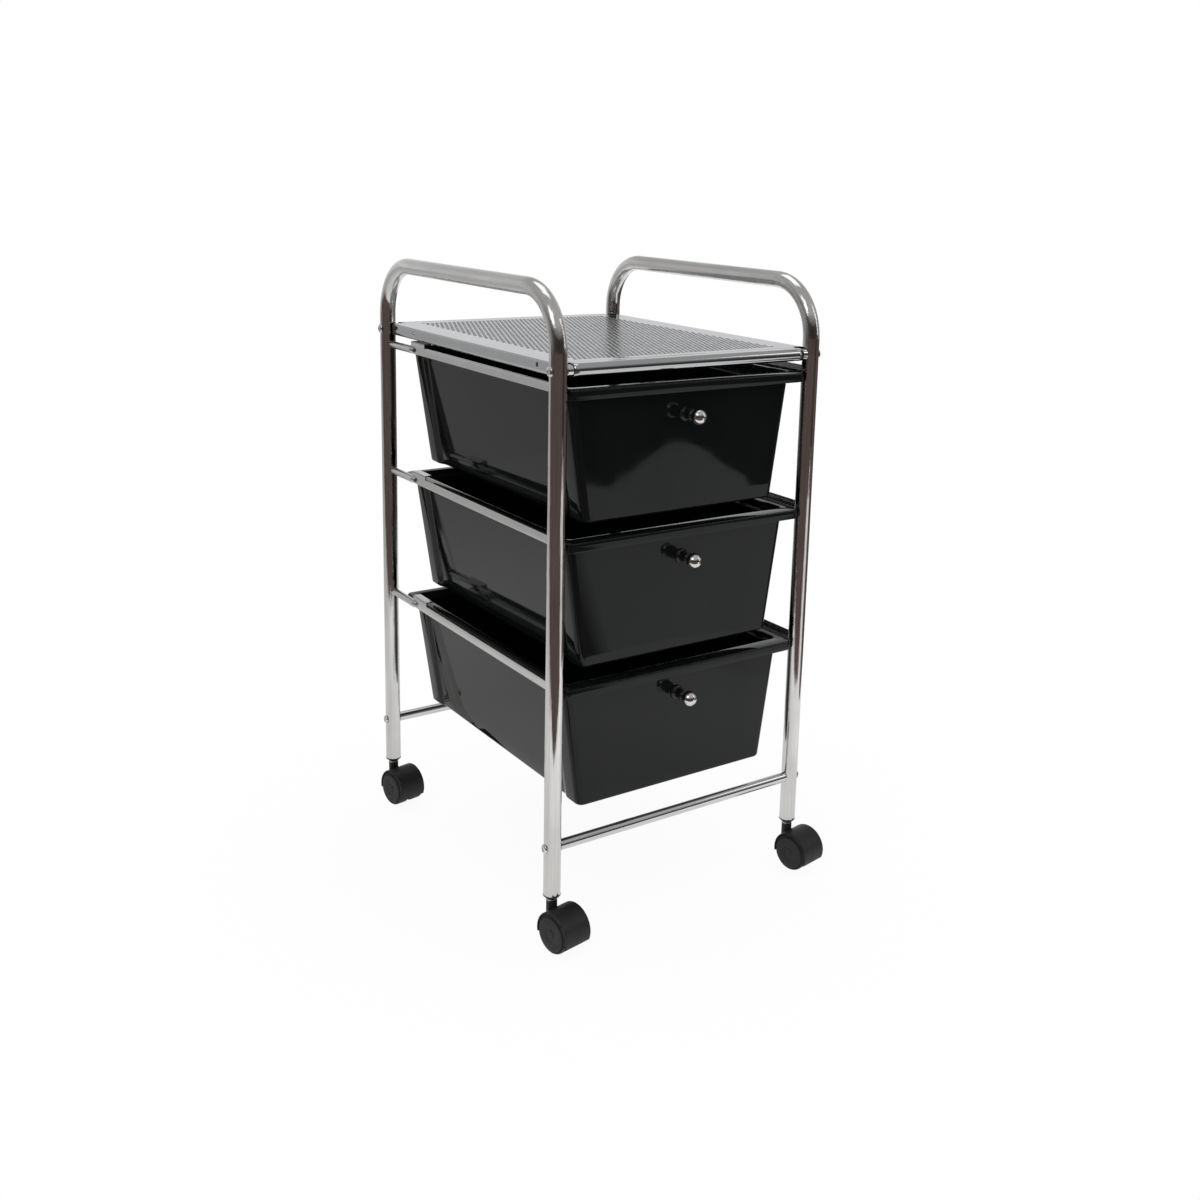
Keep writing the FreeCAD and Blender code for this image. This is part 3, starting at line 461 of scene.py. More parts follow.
def build_rail(side_name, level_name):
    """Pressed channel with rolled edges, a taller tab at the back and a neck to the leg."""
    side = SIDES[side_name]
    node = f"{side_name}_{level_name}_rail"
    x = LEG_X[side_name]
    gauge, depth, height = 1.2 * MM, 16.4 * MM, 9 * MM
    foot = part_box(node)[0][2]
    mid_z = foot + height / 2
    round_off = 0.45 * MM

    def channel(rise, reach):
        """Section corners (inwards from the leg axis, up) with their rounding."""
        return [
            (Vector((0, mid_z - height / 2)), 1.0 * MM),
            (Vector((reach, mid_z - height / 2)), round_off),
            (Vector((reach, mid_z - height / 2 + gauge)), round_off),
            (Vector((gauge, mid_z - height / 2 + gauge)), 0.5 * MM),
            (Vector((gauge, mid_z + rise)), round_off),
            (Vector((0, mid_z + rise)), round_off),
        ]

    def ring(y, rise, reach, inset=0.0):
        corners = channel(rise - inset, reach - inset)
        return [Vector((x - side * (p.x + (inset if p.x < gauge / 2 else 0)), y, p.y))
                for p in soften(corners, 4)]

    start, end = LEG_Y["front"] + TUBE - 1.0 * MM, MID_Y + 128 * MM
    notch = MID_Y - 182.7 * MM
    narrow = (HALF_X - 144.2 * MM)
    rings = []
    top = height / 2
    rings.append(ring(start, top, min(narrow, depth)))
    rings.append(ring(notch, top, narrow))
    rings.append(ring(notch + 0.2 * MM, top, depth - 1.5 * MM))
    rings.append(ring(notch + 1.4 * MM, top, depth))
    steps = 16
    tab_start = MID_Y + 94 * MM
    for i in range(1, steps):
        rings.append(ring(notch + (tab_start - notch) * i / steps, top, depth))
    rise = 4.8 * MM
    rings.append(ring(tab_start, top, depth))
    rings.append(ring(tab_start + 0.3 * MM, top + rise - 0.8 * MM, depth))
    rings.append(ring(tab_start + 1.2 * MM, top + rise, depth))
    rings.append(ring(end - 0.8 * MM, top + rise, depth))
    rings.append(ring(end, top + rise - 0.4 * MM, depth - 0.4 * MM))
    points, faces = skin(rings)
    # the hood over the rim, folded inwards from the top of the tab
    hood = soften([
        (Vector((0, mid_z + top + rise)), 0.6 * MM),
        (Vector((9 * MM, mid_z + top + rise)), round_off),
        (Vector((9 * MM, mid_z + top + rise - gauge)), round_off),
        (Vector((0, mid_z + top + rise - gauge)), 0.2 * MM)], 4)
    hood_rings = [[Vector((x - side * p.x, y, p.y)) for p in hood]
                  for y in (tab_start + 1.0 * MM, end - 0.4 * MM)]
    for more_points, more_faces in (skin(hood_rings), rail_neck(side_name, mid_z, end)):
        shift = len(points)
        points += more_points
        faces += [tuple(shift + i for i in face) for face in more_faces]
    top_edge = mid_z + top
    edge_wear_and_highlight_mask = [1.0 if p.z > top_edge - 0.7 * MM or p.z < foot + 0.4 * MM else 0.0 for p in points]
    shade(new_piece(f"{node}_strip", points, faces, "frame", [node], RAIL_STEEL, edge_wear_and_highlight_mask),
          35)


def rail_neck(side_name, z, end):
    """Round neck between the channel and the rear leg, with a pressed shoulder."""
    profile = rounded_profile([
        (-9, 0, 0), (-9, 2.6, 0.4), (-4, 4.2, 1.5), (0, 4.2, 0.4),
        (53.2, 4.2, 0.4), (53.6, 0, 0)])
    return lathe(profile, Vector((LEG_X[side_name], end, z)), Vector((0, 1, 0)), 40)


# ---------------------------------------------------------------- tray

def build_tray():
    """Perforated sheet, drawn flat with its holes, folded down the sides, rolled over the
    bars, then given its thickness."""
    gauge, hole = 0.8 * MM, 1.8 * MM
    field_x, field_y, columns, rows, per_side = 123.75 * MM, 168.75 * MM, 45, 53, 4
    pitch_x, pitch_y = 2 * field_x / columns, 2 * field_y / rows
    step_x, step_y = pitch_x / per_side, pitch_y / per_side
    low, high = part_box("tray")
    top_z = high[2]
    side_x, lap_x, notch_y = HALF_X, 140 * MM, 176.5 * MM
    fold, roll = 1.3 * MM, 6.4 * MM
    fold_run = fold * math.pi / 2
    flat_x = side_x - fold
    skirt_end = flat_x + fold_run + (12 * MM - fold)
    curl = math.radians(215)
    lap_end = HALF_Y + roll * curl
    hole_v, slot_v = 121 * MM, -150.5 * MM
    pierce_u = flat_x + fold_run + (5 * MM - fold)

    def spaced(first, last, most):
        count = max(1, math.ceil((last - first) / most))
        return [first + (last - first) * i / count for i in range(count + 1)]

    u_half = [field_x - i * step_x for i in range(columns * per_side // 2 + 1)]
    u_half = [u for u in u_half if u >= -1e-9]
    u_half += spaced(field_x, lap_x, 6 * MM) + spaced(lap_x, flat_x, 5 * MM)
    u_half += spaced(flat_x, flat_x + fold_run, fold_run / 5)
    cell_u = [pierce_u + k * 1.6 * MM for k in (-2, -1, 0, 1, 2)]
    u_half += cell_u + [skirt_end]
    v_half = [field_y - i * step_y for i in range(rows * per_side // 2 + 1)]
    v_half = [v for v in v_half if v >= -1e-9]
    v_half += spaced(field_y, notch_y, 4 * MM) + spaced(notch_y, HALF_Y, 2 * MM)
    v_half += spaced(HALF_Y, lap_end, 1.0 * MM)
    quarter, cell_half = 1.3 * MM, 2.6 * MM
    cell_v = [centre + k * quarter for centre in (hole_v, slot_v) for k in (-2, -1, 0, 1, 2)]

    def merged(values):
        out = []
        for value in sorted(values):
            if not out or value - out[-1] > 1e-6:
                out.append(value)
        return out

    us = merged(u_half + [-u for u in u_half])
    vs_field = merged(v_half + [-v for v in v_half])
    vs_skirt = merged([v for v in vs_field if abs(v) <= notch_y + 1e-6] + cell_v)
    vs_skirt = [v for v in vs_skirt if v in cell_v
                or all(abs(v - c) >= cell_half - 0.01 * MM for c in (hole_v, slot_v))]

    points, index, faces = [], {}, []

    def fold_up(u, v):
        """Flat sheet to its folded and rolled place, about the tray's own middle."""
        side, end = (1 if u > 0 else -1), (1 if v > 0 else -1)
        run_u, run_v = abs(u) - flat_x, abs(v) - HALF_Y
        x, y, z = u, v, top_z
        if run_u > 0:
            angle = min(run_u / fold, math.pi / 2)
            x = side * (flat_x + fold * math.sin(angle))
            z = top_z - fold * (1 - math.cos(angle)) - max(0, run_u - fold_run)
        if run_v > 0:
            angle = run_v / roll
            y = end * (HALF_Y + roll * math.sin(angle))
            z = top_z - roll * (1 - math.cos(angle))
        # the pressed crease where the flat turns into the roll
        crease = abs(abs(v) - (HALF_Y - 7.5 * MM))
        if abs(u) <= lap_x + 1e-6 and crease < 3 * MM:
            z -= 0.35 * MM * (0.5 + 0.5 * math.cos(math.pi * crease / (3 * MM)))
        return Vector((MID_X + x, MID_Y + y, z))

    def point(u, v):
        key = (round(u * 1e6), round(v * 1e6))
        if key not in index:
            index[key] = len(points)
            points.append(fold_up(u, v))
        return index[key]

    def pierced(u0, u1, v0, v1, shape):
        """A cell of the sheet with a hole, joined to the cell's edge points."""
        edge = [(u0 + (u1 - u0) * i / per_side, v0) for i in range(per_side)]
        edge += [(u1, v0 + (v1 - v0) * i / per_side) for i in range(per_side)]
        edge += [(u1 - (u1 - u0) * i / per_side, v1) for i in range(per_side)]
        edge += [(u0, v1 - (v1 - v0) * i / per_side) for i in range(per_side)]
        cu, cv = (u0 + u1) / 2, (v0 + v1) / 2
        outer, inner = [], []
        for i, (u, v) in enumerate(edge):
            outer.append(point(u, v))
            angle = math.pi * 2 * i / len(edge) - math.pi * 3 / 4
            du, dv = shape(angle)
            inner.append(point(cu + du, cv + dv))
        for i in range(len(edge)):
            j = (i + 1) % len(edge)
            faces.append((outer[i], outer[j], inner[j], inner[i]))

    def round_hole(radius):
        return lambda angle: (radius * math.cos(angle), radius * math.sin(angle))

    def slot_hole(angle):
        half_u, half_v = 2.2 * MM, 0.9 * MM
        du, dv = half_v * math.cos(angle), half_v * math.sin(angle)
        return du + math.copysign(half_u - half_v, du), dv

    # every other row of holes is shifted by half a pitch, with half cells closing its ends
    for row in range(rows):
        v0 = -field_y + row * pitch_y
        shift = row % 2
        for column in range(columns - shift):
            u0 = -field_x + (column + shift / 2) * pitch_x
            pierced(u0, u0 + pitch_x, v0, v0 + pitch_y, round_hole(hole))
        for start in (-field_x, field_x - pitch_x / 2) if shift else ():
            for i in range(per_side // 2):
                for j in range(per_side):
                    u0, v1 = start + i * step_x, v0 + j * step_y
                    faces.append((point(u0, v1), point(u0 + step_x, v1),
                                  point(u0 + step_x, v1 + step_y), point(u0, v1 + step_y)))
    eps = 1e-7
    for u0, u1 in zip(us, us[1:]):
        in_skirt = min(abs(u0), abs(u1)) >= flat_x + fold_run - eps
        on_side = min(abs(u0), abs(u1)) >= lap_x - eps
        vs = vs_skirt if in_skirt else vs_field
        for v0, v1 in zip(vs, vs[1:]):
            if max(abs(u0), abs(u1)) <= field_x + eps and max(abs(v0), abs(v1)) <= field_y + eps:
                continue
            if on_side and max(abs(v0), abs(v1)) > notch_y + eps:
                continue
            if in_skirt and skirt_cell(u0, u1, v0, v1, cell_u, cell_half, (hole_v, slot_v)):
                continue
            faces.append((point(u0, v0), point(u1, v0), point(u1, v1), point(u0, v1)))
    for side in SIDES.values():
        us_cell = sorted((side * cell_u[0], side * cell_u[-1]))
        pierced(*us_cell, hole_v - cell_half, hole_v + cell_half, round_hole(1.6 * MM))
        pierced(*us_cell, slot_v - cell_half, slot_v + cell_half, slot_hole)
    bottom = low[2] + 1.2 * MM
    edge_wear_and_highlight_mask = [1.0 if p.z < bottom or abs(abs(p.x - MID_X) - side_x) < 0.9 * MM and
            p.z > top_z - 1.5 * MM else 0.0 for p in points]
    piece = new_piece("perforated_tray_sheet", points, faces, "frame", ["tray"],
                      TRAY_STEEL, edge_wear_and_highlight_mask)
    solid = piece.modifiers.new("gauge", "SOLIDIFY")
    solid.thickness = gauge
    solid.offset = -1
    solid.use_even_offset = False
    # the hole walls and cut edges take the near-black painted shade finish
    piece.data.materials.append(CUT_EDGE_PAINTED_SHADE)
    solid.material_offset_rim = 1
    shade(piece, 40)


def skirt_cell(u0, u1, v0, v1, cell_u, cell_half, centres):
    """Whether a patch of a skirt lies in the cell of one of its two holes."""
    across = (abs(u0) + abs(u1)) / 2
    if not cell_u[0] < across < cell_u[-1]:
        return False
    return any(abs((v0 + v1) / 2 - centre) < cell_half for centre in centres)


# ---------------------------------------------------------------- drawers

def drawer_outlines(half_x, back_y, shrink, rim_inset):
    """Matching outlines, in millimetres: the tub's wall and the rim round its mouth.

    Both lists have a point for each place round the drawer, so they can be joined."""
    front_y, column, slope, inset = 180.0, 24.0, 7.0, 3.0
    corner, rim_x, rim_front, rim_back, rim_corner = 8.0, 143.4, 195.0, 171.0, 6.0
    turn, crease, arc = corner - shrink, 2.4, 8
    reach, front, back = half_x - shrink, front_y - shrink, back_y - shrink
    rx, rf, rb = rim_x - rim_inset, rim_front - rim_inset, rim_back - rim_inset
    rc = max(rim_corner - rim_inset, 0.6)
    wall, rim = [], []

    def bow(centre, radius, start, end, count):
        return [Vector((centre[0] + radius * math.cos(math.radians(start + (end - start) * i
                                                                  / (count - 1))),
                        centre[1] + radius * math.sin(math.radians(start + (end - start) * i
                                                                  / (count - 1)))))
                for i in range(count)]

    # front right corner, from the front face round to the side; the rim's share of the
    # points goes round its own corner and then back along its ear
    ear = [-188.2, -187.0, -185.8, -184.9, -184.2, -183.7, -183.2]
    wall += bow((reach - turn, -front + turn), turn, -90, 0, arc + len(ear))
    rim += bow((rx - rc, -rf + rc), rc, -90, 0, arc) + [Vector((rx, y)) for y in ear]
    bends = [(reach, -front_y + column), (reach - inset, -front_y + column + slope),
             (reach - inset, back_y - column - slope), (reach, back_y - column)]
    chain = [Vector((reach, -front + turn))] + [Vector(b) for b in bends]
    chain.append(Vector((reach, back - turn)))
    for i in range(1, len(chain) - 1):
        here = chain[i]
        to_last = (chain[i - 1] - here).normalized() * crease
        to_next = (chain[i + 1] - here).normalized() * crease
        for step in range(5):
            t = step / 4
            p = (1 - t) ** 2 * (here + to_last) + 2 * t * (1 - t) * here + t * t * (here + to_next)
            wall.append(p)
            rim.append(Vector((rx, p.y)))
    wall += bow((reach - turn, back - turn), turn, 0, 90, arc)
    rim += bow((rx - rc, rb - rc), rc, 0, 90, arc)
    # the back and front faces get a few points across them for their slight bow
    across = [0.7, 0.35, 0.0, -0.35, -0.7]
    right_wall, right_rim = wall[:], rim[:]
    wall += [Vector(((reach - turn) * s, back)) for s in across]
    rim += [Vector(((rx - rc) * s, rb)) for s in across]
    wall += [Vector((-p.x, p.y)) for p in reversed(right_wall)]
    rim += [Vector((-p.x, p.y)) for p in reversed(right_rim)]
    wall += [Vector((-(reach - turn) * s, -front)) for s in across]
    rim += [Vector((-(rx - rc) * s, -rf)) for s in across]
    return wall, rim


def build_drawer(level_name):
    """Tapered tub with rounded foot, creased side panels, rolled rim, lip and ears."""
    node = f"{level_name}_drawer"
    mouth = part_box(node)[1][2]
    depth, gauge, wall_gauge, foot = 134.0, 1.8, 2.0, 3.0
    bead, lip = 2.7, 9.8

    def wall_ring(height, shrink):
        part = height / depth
        half_x, back_y = 118.0 + 18.8 * part, 158.0 + 5.0 * part
        outline, _ = drawer_outlines(half_x, back_y, shrink, 0)
        return [place(p, height - depth) for p in outline]

    def place(p, below):
        return Vector((MID_X + p.x * MM, MID_Y + p.y * MM, mouth + below * MM))

    def hang(p):
        """How far the rim's edge hangs down at a point: the lip in front, a bead elsewhere."""
        past = p.y + 183.5
        if past >= 0:
            return bead
        share = min(1.0, -past / 4.6)
        return bead + (lip - bead) * math.sqrt(share * (2 - share))

    def rim_ring(inset, height, hung=0.0):
        """hung is the share of the hanging depth that this ring follows."""
        _, outline = drawer_outlines(136.8, 163.0, 0, inset)
        _, edge = drawer_outlines(136.8, 163.0, 0, 0)
        return [place(p, height - hang(q) * hung) for p, q in zip(outline, edge)]

    # each ring's edge mask: the rim and the rounded foot are painted lighter, partly as rubbing
    # and partly as a painted highlight
    rings, edge_wear_and_highlight = [], []

    def add(ring, edge_wear_and_highlight_mask=0.0):
        rings.append(ring)
        edge_wear_and_highlight.append(edge_wear_and_highlight_mask)

    round_steps = 5
    for i in range(round_steps + 1):
        a = math.pi / 2 * i / round_steps
        add(wall_ring(foot * (1 - math.cos(a)), foot * (1 - math.sin(a))),
            0.8 if 0 < i < round_steps else 0.0)
    for part in (0.1, 0.3, 0.5, 0.7, 0.9):
        add(wall_ring(foot + (depth - gauge - foot) * part, 0))
    add(wall_ring(depth - gauge - 1.2, 0))
    add(wall_ring(depth - gauge - 0.4, -0.3))
    add(wall_ring(depth - gauge, -1.1))
    add(rim_ring(wall_gauge + 0.5, -gauge))
    add(rim_ring(wall_gauge, -gauge - 0.2))
    add(rim_ring(wall_gauge, 0.5, 1))
    add(rim_ring(wall_gauge - 0.3, 0.15, 1), 0.6)
    add(rim_ring(wall_gauge - 0.8, 0, 1), 1)
    add(rim_ring(0.7, 0, 1), 1)
    add(rim_ring(0.2, 0.2, 1), 0.8)
    add(rim_ring(0.0, 0.7, 1))
    add(rim_ring(0.0, -1.6))
    add(rim_ring(0.12, -1.0), 0.5)
    add(rim_ring(0.45, -0.42), 1)
    add(rim_ring(1.0, -0.1), 1)
    add(rim_ring(1.8, 0.0), 0.3)
    add(wall_ring(depth, wall_gauge - 0.9))
    add(wall_ring(depth - 0.15, wall_gauge - 0.35), 0.5)
    add(wall_ring(depth - 0.8, wall_gauge), 0.3)
    for part in (0.1, 0.4, 0.7, 1.0):
        add(wall_ring(depth - 0.8 - (depth - wall_gauge - 3.0) * part, wall_gauge))
    add(wall_ring(wall_gauge + 0.5, wall_gauge + 0.7))
    add(wall_ring(wall_gauge, wall_gauge + 1.8))
    points, faces = skin(rings)
    count = len(rings[0])
    edge_wear_and_highlight_mask = [w for w in edge_wear_and_highlight for _ in range(count)]
    piece = new_piece(f"{level_name}_drawer_tub", points, faces, f"{level_name}_drawer_unit",
                      [node], DRAWER_BLACK, edge_wear_and_highlight_mask)
    shade(piece, 38)


# ---------------------------------------------------------------- knobs

def build_knob(level_name):
    """Chrome ball on a black waisted neck, held by a screw from inside the drawer."""
    body = f"{level_name}_drawer_unit"
    out = Vector((0, -1, 0))
    ball_low, ball_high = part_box(f"{level_name}_knob_ball")
    radius = (ball_high[0] - ball_low[0]) / 2
    centre = Vector(((ball_low[0] + ball_high[0]) / 2, ball_low[1] + radius,
                     (ball_low[2] + ball_high[2]) / 2))
    face = Vector((centre.x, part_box(f"{level_name}_knob_neck")[1][1], centre.z))

    seat = (ball_high[1] - centre.y)
    start = math.acos(-seat / radius)
    steps = 40
    profile = [(-seat, 0)]
    for i in range(steps + 1):
        a = start * (1 - i / steps)
        profile.append((radius * math.cos(a), max(0.0, radius * math.sin(a))))
    profile[-1] = (radius, 0)
    points, faces = lathe(profile, centre, out, 72)
    shade(new_piece(f"{level_name}_knob_sphere", points, faces, body,
                    [f"{level_name}_knob_ball"], BALL_CHROME), 40)

    profile = rounded_profile([
        (0, 0, 0), (0, 7.6, 0.3), (1.7, 7.6, 0.7), (3.4, 5.1, 1.2), (7, 4.5, 1.5),
        (10.6, 4.7, 0.5), (12.2, 6.2, 0.8), (14.3, 6.2, 0.8), (15.6, 4.6, 0.3), (15.6, 0, 0)])
    points, faces = lathe(profile, face, out, 64)
    # the spacer's outer edges are painted lighter: rubbing and a painted highlight
    edge_wear_and_highlight_mask = [1.0 if (p - face).length > 14.6 * MM or
            math.hypot(p.x - face.x, p.z - face.z) > 7.3 * MM else 0.0 for p in points]
    shade(new_piece(f"{level_name}_knob_spacer", points, faces, body,
                    [f"{level_name}_knob_neck"], KNOB_BLACK, edge_wear_and_highlight_mask), 40)

    profile = rounded_profile([
        (-4.45, 0, 0), (-4.45, 2.8, 0.8), (-3.2, 4.2, 0.6), (-2.05, 4.2, 0.2),
        (-2.05, 2.0, 0.1), (6, 2.0, 0.1), (6, 0, 0)])
    points, faces = lathe(profile, face, out, 40)
    shade(new_piece(f"{level_name}_knob_bolt", points, faces, body,
                    [f"{level_name}_knob_screw"], PIN_STEEL), 40)


# ---------------------------------------------------------------- casters

def build_caster(end_name, side_name):
    """Socket cap, stem with its ring, and the two wheels."""
    corner = f"{end_name}_{side_name}"
    axis = Vector((LEG_X[side_name], LEG_Y[end_name], 0))
    up = Vector((0, 0, 1))
    profile = rounded_profile([
        (46.3, 0, 0), (46.3, 5.5, 0.25), (49.9, 8.95, 0.5), (51.2, 8.95, 0.3),
        (51.2, 7.7, 0.05), (90, 7.7, 0.6), (92, 6.2, 0.5), (92, 0, 0)])
    points, faces = lathe(profile, axis, up, 56)
    # the cap's flange edge is painted lighter: rubbing and a painted highlight
    edge_wear_and_highlight_mask = [1.0 if abs(p.z - 50.5 * MM) < 1.2 * MM else 0.0 for p in points]
    shade(new_piece(f"{corner}_socket_cap", points, faces, "frame",
                    [f"{corner}_socket"], SOCKET_BLACK, edge_wear_and_highlight_mask), 35)

    profile = rounded_profile([
        (30.5, 0, 0), (30.5, 3.3, 0.1), (31.1, 3.9, 0.1), (44.8, 3.9, 0.1),
        (44.8, 5.5, 0.35), (46.3, 5.5, 0.35), (46.3, 3.9, 0.1), (86, 3.9, 0.4), (86, 0, 0)])
    points, faces = lathe(profile, axis, up, 48)
    shade(new_piece(f"{corner}_stem_pin", points, faces, "frame",
                    [f"{corner}_stem"], PIN_STEEL), 35)

    hub = middle(f"{corner}_axle")
    inboard = (middle(f"{corner}_right_wheel") - middle(f"{corner}_left_wheel")).normalized()
    for way_name, way in SIDES.items():
        # tread, rolled shoulder, groove, then a dished disc with a raised hub cap
        profile = rounded_profile([
            (2.7, 0, 0), (2.7, 5.0, 0.2), (5.5, 5.2, 0.3), (5.5, 17.2, 0.3), (3.3, 17.4, 0.3),
            (3.3, 19.4, 0.3), (3.9, 20.0, 0.5), (15.4, 20.0, 1.2), (16.5, 19.0, 0.7),
            (16.5, 18.3, 0.15), (15.7, 18.1, 0.15), (15.7, 17.6, 0.15), (17.0, 17.4, 0.2),
            (17.7, 16.4, 0.8), (17.55, 7.0, 0.4), (17.3, 6.6, 0.3), (17.3, 5.4, 0.3),
            (17.7, 5.0, 0.3), (17.7, 0, 0)], 4)
        points, faces = lathe(profile, hub, inboard * way, 72)
        reach = [math.sqrt(max(0, (p - hub).length_squared - ((p - hub).dot(inboard)) ** 2))
                 for p in points]
        # tread edges and the hub ring are painted lighter: rubbing on the tread, and a painted
        # highlight
        edge_wear_and_highlight_mask = [1.0 if r > 19.2 * MM else 0.4 if 16.2 * MM < r < 17.2 * MM else 0.0
                for r in reach]
        shade(new_piece(f"{corner}_{way_name}_wheel_disc", points, faces,
                        f"{corner}_{way_name}_roller",
                        [f"{corner}_{way_name}_wheel"], WHEEL_BLACK, edge_wear_and_highlight_mask), 35)
    for node, material in ((f"{corner}_hood", HOOD_BLACK), (f"{corner}_axle", PIN_STEEL)):
        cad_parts[node].data.materials[0] = material


# ---------------------------------------------------------------- studio

def floor_material(name, colour):
    """White paper that glows evenly, with a trace of shadow left near the trolley."""
    g = Graph(name)
    tone = g.blend(g.span(g.noise(3, 4), 0, 1), colour, tuple(c * 0.985 for c in colour))
    g.bump((g.noise(220, 3), 0.0001, 0.05))
    distance = g.add("VectorMath", operation="LENGTH")
    g.link(g.place, distance.inputs[0])
    fade = g.span(distance.outputs["Value"], 0.93, 1.0, 0.2, 0.8)
    glow = g.add("Emission")
    glow.inputs["Color"].default_value = (1, 1, 1, 1)
    mix = g.add("MixShader")
    g.link(fade, mix.inputs["Fac"])
    g.link(g.shader.outputs["BSDF"], mix.inputs[1])
    g.link(glow.outputs["Emission"], mix.inputs[2])
    g.link(mix.outputs["Shader"], g.tree.nodes["Material Output"].inputs["Surface"])
    return g.finish(tone, g.span(g.noise(30, 3), 0.55, 0.7))


def build_floor():
    """A wide pale floor for the eye, and just over it the floor that gloss reflects."""
    size, drop = 30, 0.002
    shown = stage_mesh("floor_shown", square(size, -drop), [(0, 1, 2, 3)],
                       floor_material("paper_white", (0.86, 0.86, 0.86)))
    shown.visible_glossy = False
    reflected = stage_mesh("floor_reflected", square(6, 0), [(0, 1, 2, 3)], mirrored_floor())
    reflected.visible_camera = False
    reflected.visible_diffuse = False
    reflected.visible_shadow = False
    reflected.visible_transmission = False


def square(size, z):
    return [Vector((sx * size, sy * size, z)) for sx, sy in
            ((-1, -1), (1, -1), (1, 1), (-1, 1))]


def mirrored_floor():
    """What stands for the room's floor in reflections: a glowing sheet with light and shade
    painted into its colour, showing white paper whose front edge is close to the trolley,
    brown floor round it, and to the front right a lit stretch of the room that ends in a
    hill-shaped edge."""
    g = Graph("room_floor_painted_light")
    split = g.add("SeparateXYZ")
    g.link(g.place, split.inputs["Vector"])
    x, y = split.outputs["X"], split.outputs["Y"]

    def side_of(nx, ny, offset):
        """Signed distance, in metres, from a straight line."""
        return g.maths("ADD", g.maths("ADD", g.maths("MULTIPLY", x, nx),
                                      g.maths("MULTIPLY", y, ny)), offset)

    # the paper's edges: front, front left, right, and the cut corner between the first two
    inside = g.maths("MINIMUM", side_of(0.10, 1.0, 0.72), side_of(0.82, 0.57, 0.81))
    inside = g.maths("MINIMUM", inside, side_of(-0.90, 0.43, 0.70))
    inside = g.maths("MINIMUM", inside, side_of(0.415, 0.955, 0.691))
    edge_blur, hill_blur = 0.012, 0.02
    paper = g.span(inside, 0, 1, -edge_blur, edge_blur)
    # the paper is less lit far out to the left and behind, and under the trolley
    shadow = g.span(side_of(-0.75, 0.66, 0.0), 0.95, 0.48, 0.0, 1.35)
    radius = g.maths("SQRT", g.maths("ADD", g.maths("MULTIPLY", x, x),
                                     g.maths("MULTIPLY", y, y)), 0)
    # painted shadow under the trolley: the paper's glow is dimmer within about half a metre
    under_trolley_shade = g.span(radius, 0.80, 0.96, 0.42, 0.62)
    lit = g.blend(g.maths("MULTIPLY", shadow, under_trolley_shade), (0, 0, 0), (1, 1, 0.99))

    # the lit stretch of the room and the hill-shaped far edge that it has
    hill_bearing, hill_width = math.radians(-55.8), math.radians(3.4)
    stretch_bearing, full_half, faded_half = (math.radians(a) for a in (-56, 11, 15))
    plain_reach, hill_rise, waviness = 2.04, 0.64, 0.35
    bearing = g.maths("ARCTAN2", y, x)
    steep = g.maths("DIVIDE", g.maths("SUBTRACT", bearing, hill_bearing), hill_width)
    hill = g.maths("POWER", math.e, g.maths("MULTIPLY", g.maths("MULTIPLY", steep, steep), -1.0))
    wave = g.maths("MULTIPLY", g.maths("SUBTRACT", g.noise(2.2, 4), 0.5), waviness)
    edge = g.maths("ADD", g.maths("ADD", g.maths("MULTIPLY", hill, hill_rise), plain_reach), wave)
    near = g.span(g.maths("SUBTRACT", edge, radius), 0, 1, -hill_blur, hill_blur)
    stretch = g.blend(near, (0.030, 0.028, 0.027), (0.80, 0.80, 0.79))
    beside = g.maths("ABSOLUTE", g.maths("SUBTRACT", bearing, stretch_bearing), 0)
    ahead = g.span(beside, 1, 0, full_half, faded_half)
    brown = g.blend(g.span(g.noise(3, 3), 0, 1), (0.125, 0.090, 0.083), (0.070, 0.056, 0.054))
    colour = g.blend(paper, g.blend(ahead, brown, stretch), lit)
    # the sheet glows with this painted light and shade; it is no lamp and is seen only in
    # reflections
    glow = g.add("Emission")
    g.link(colour, glow.inputs["Color"])
    g.link(glow.outputs["Emission"], g.tree.nodes["Material Output"].inputs["Surface"])
    return g.material


def stage_mesh(name, points, faces, material):
    mesh = bpy.data.meshes.new(name)
    mesh.from_pydata([tuple(p) for p in points], [], faces)
    mesh.materials.append(material)
    piece = bpy.data.objects.new(name, mesh)
    bpy.context.collection.objects.link(piece)
    return piece


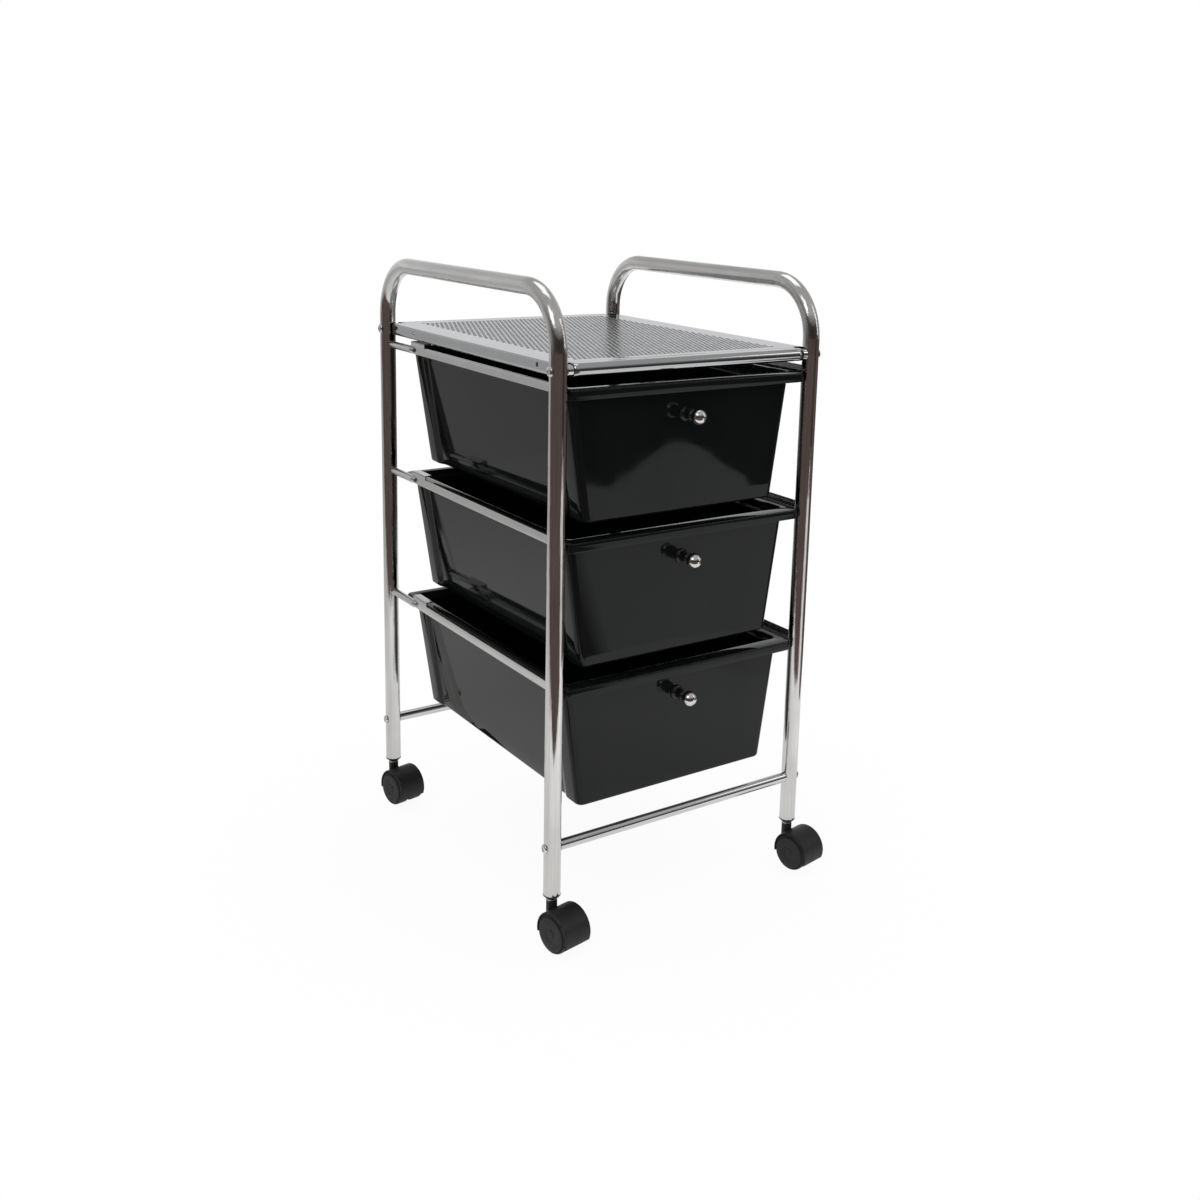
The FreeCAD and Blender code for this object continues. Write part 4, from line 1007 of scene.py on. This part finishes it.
def build_world():
    """Pale all round for the eye; a graded room for what the chrome reflects."""
    world = bpy.data.worlds.new("studio")
    bpy.context.scene.world = world
    world.use_nodes = True
    tree = world.node_tree
    back = tree.nodes["Background"]
    out = tree.nodes["World Output"]
    back.inputs["Color"].default_value = (1, 1, 1, 1)
    back.inputs["Strength"].default_value = 1.0
    room = tree.nodes.new("ShaderNodeBackground")
    coordinates = tree.nodes.new("ShaderNodeTexCoord")
    split = tree.nodes.new("ShaderNodeSeparateXYZ")
    tree.links.new(coordinates.outputs["Generated"], split.inputs["Vector"])

    def ramp(source, stops):
        node = tree.nodes.new("ShaderNodeValToRGB")
        tree.links.new(source, node.inputs["Fac"])
        elements = node.color_ramp.elements
        while len(elements) < len(stops):
            elements.new(0.5)
        for element, (place, tone) in zip(elements, stops):
            element.position = place
            element.color = (*tone, 1)
        return node.outputs["Color"]

    def maths(kind, first, second):
        node = tree.nodes.new("ShaderNodeMath")
        node.operation = kind
        for socket, value in zip(node.inputs, (first, second)):
            if isinstance(value, (int, float)):
                socket.default_value = value
            else:
                tree.links.new(value, socket)
        return node.outputs[0]

    # facing is 1 straight behind the viewer's side of the room, 0 at the far side
    x, y, z = split.outputs["X"], split.outputs["Y"], split.outputs["Z"]
    facing = maths("ADD", maths("MULTIPLY", maths("ADD", maths("MULTIPLY", x, -0.35),
                                                  maths("MULTIPLY", y, -0.94)), 0.5), 0.5)
    walls = ramp(facing, [(0.0, (0.75, 0.75, 0.76)), (0.30, (0.42, 0.41, 0.41)),
                          (0.55, (0.15, 0.14, 0.135)), (0.75, (0.060, 0.052, 0.048)),
                          (1.0, (0.035, 0.030, 0.028))])
    height = maths("ADD", maths("MULTIPLY", z, 0.5), 0.5)
    ceiling = ramp(height, [(0.0, (0, 0, 0)), (0.62, (0, 0, 0)), (0.80, (1, 1, 1)),
                            (1.0, (1, 1, 1))])
    mix = tree.nodes.new("ShaderNodeMix")
    mix.data_type = "RGBA"
    tree.links.new(ceiling, mix.inputs["Factor"])
    tree.links.new(walls, mix.inputs[6])
    mix.inputs[7].default_value = (0.42, 0.42, 0.42, 1)
    tree.links.new(mix.outputs[2], room.inputs["Color"])
    room.inputs["Strength"].default_value = 1.0
    path = tree.nodes.new("ShaderNodeLightPath")
    choose = tree.nodes.new("ShaderNodeMixShader")
    tree.links.new(path.outputs["Is Glossy Ray"], choose.inputs["Fac"])
    tree.links.new(back.outputs["Background"], choose.inputs[1])
    tree.links.new(room.outputs["Background"], choose.inputs[2])
    tree.links.new(choose.outputs["Shader"], out.inputs["Surface"])


def area_light(name, place, target, size, power, seen=True):
    data = bpy.data.lights.new(name, "AREA")
    data.shape = "RECTANGLE"
    data.size, data.size_y = size
    data.energy = power
    light = bpy.data.objects.new(name, data)
    light.location = place
    light.rotation_euler = (Vector(target) - Vector(place)).to_track_quat("-Z", "Y").to_euler()
    light.visible_glossy = seen
    light.visible_camera = False
    bpy.context.collection.objects.link(light)
    return light


def build_lights():
    target = (0, 0, 0.35)
    area_light("key_softbox", (-2.2, -1.2, 2.6), target, (1.4, 1.4), 9)
    area_light("fill_strip", (2.4, -1.8, 1.6), target, (0.5, 2.2), 5)
    area_light("top_softbox", (0.2, 0.6, 3.0), target, (1.6, 1.6), 8)
    area_light("front_fill", (-0.6, -3.0, 1.8), target, (2.0, 1.6), 4, seen=False)


def build_camera():
    """The viewpoint: front left, a little above the tray, slightly rolled."""
    turn, down, roll = math.radians(-35.25), math.radians(11.65), math.radians(1.56)
    ahead = Vector((-math.sin(turn) * math.cos(down), math.cos(turn) * math.cos(down),
                    -math.sin(down)))
    right = ahead.cross(Vector((0, 0, 1))).normalized()
    up = right.cross(ahead)
    x_axis = right * math.cos(roll) + up * math.sin(roll)
    y_axis = -right * math.sin(roll) + up * math.cos(roll)
    data = bpy.data.cameras.new("camera")
    data.sensor_width, data.lens = 36, 40.04
    data.shift_x, data.shift_y = -0.0435, -0.1214
    camera = bpy.data.objects.new("camera", data)
    turned = Matrix((x_axis, y_axis, -ahead)).transposed().to_4x4()
    turned.translation = Vector((-0.7884, -1.2189, 0.7528))
    camera.matrix_world = turned
    bpy.context.collection.objects.link(camera)
    bpy.context.scene.camera = camera


# ---------------------------------------------------------------- everything

build_camera()
build_world()
build_lights()
build_floor()
bpy.context.scene.view_settings.view_transform = "Standard"

for side_name in SIDES:
    build_side_frame(side_name)
    for level_name in LEVELS:
        build_rail(side_name, level_name)
    for end_name in ENDS:
        build_caster(end_name, side_name)
for height_name in ("upper", "lower"):
    for end_name in ENDS:
        build_bar(height_name, end_name)
build_tray()
for level_name in LEVELS:
    build_drawer(level_name)
    build_knob(level_name)
build_screw_heads()
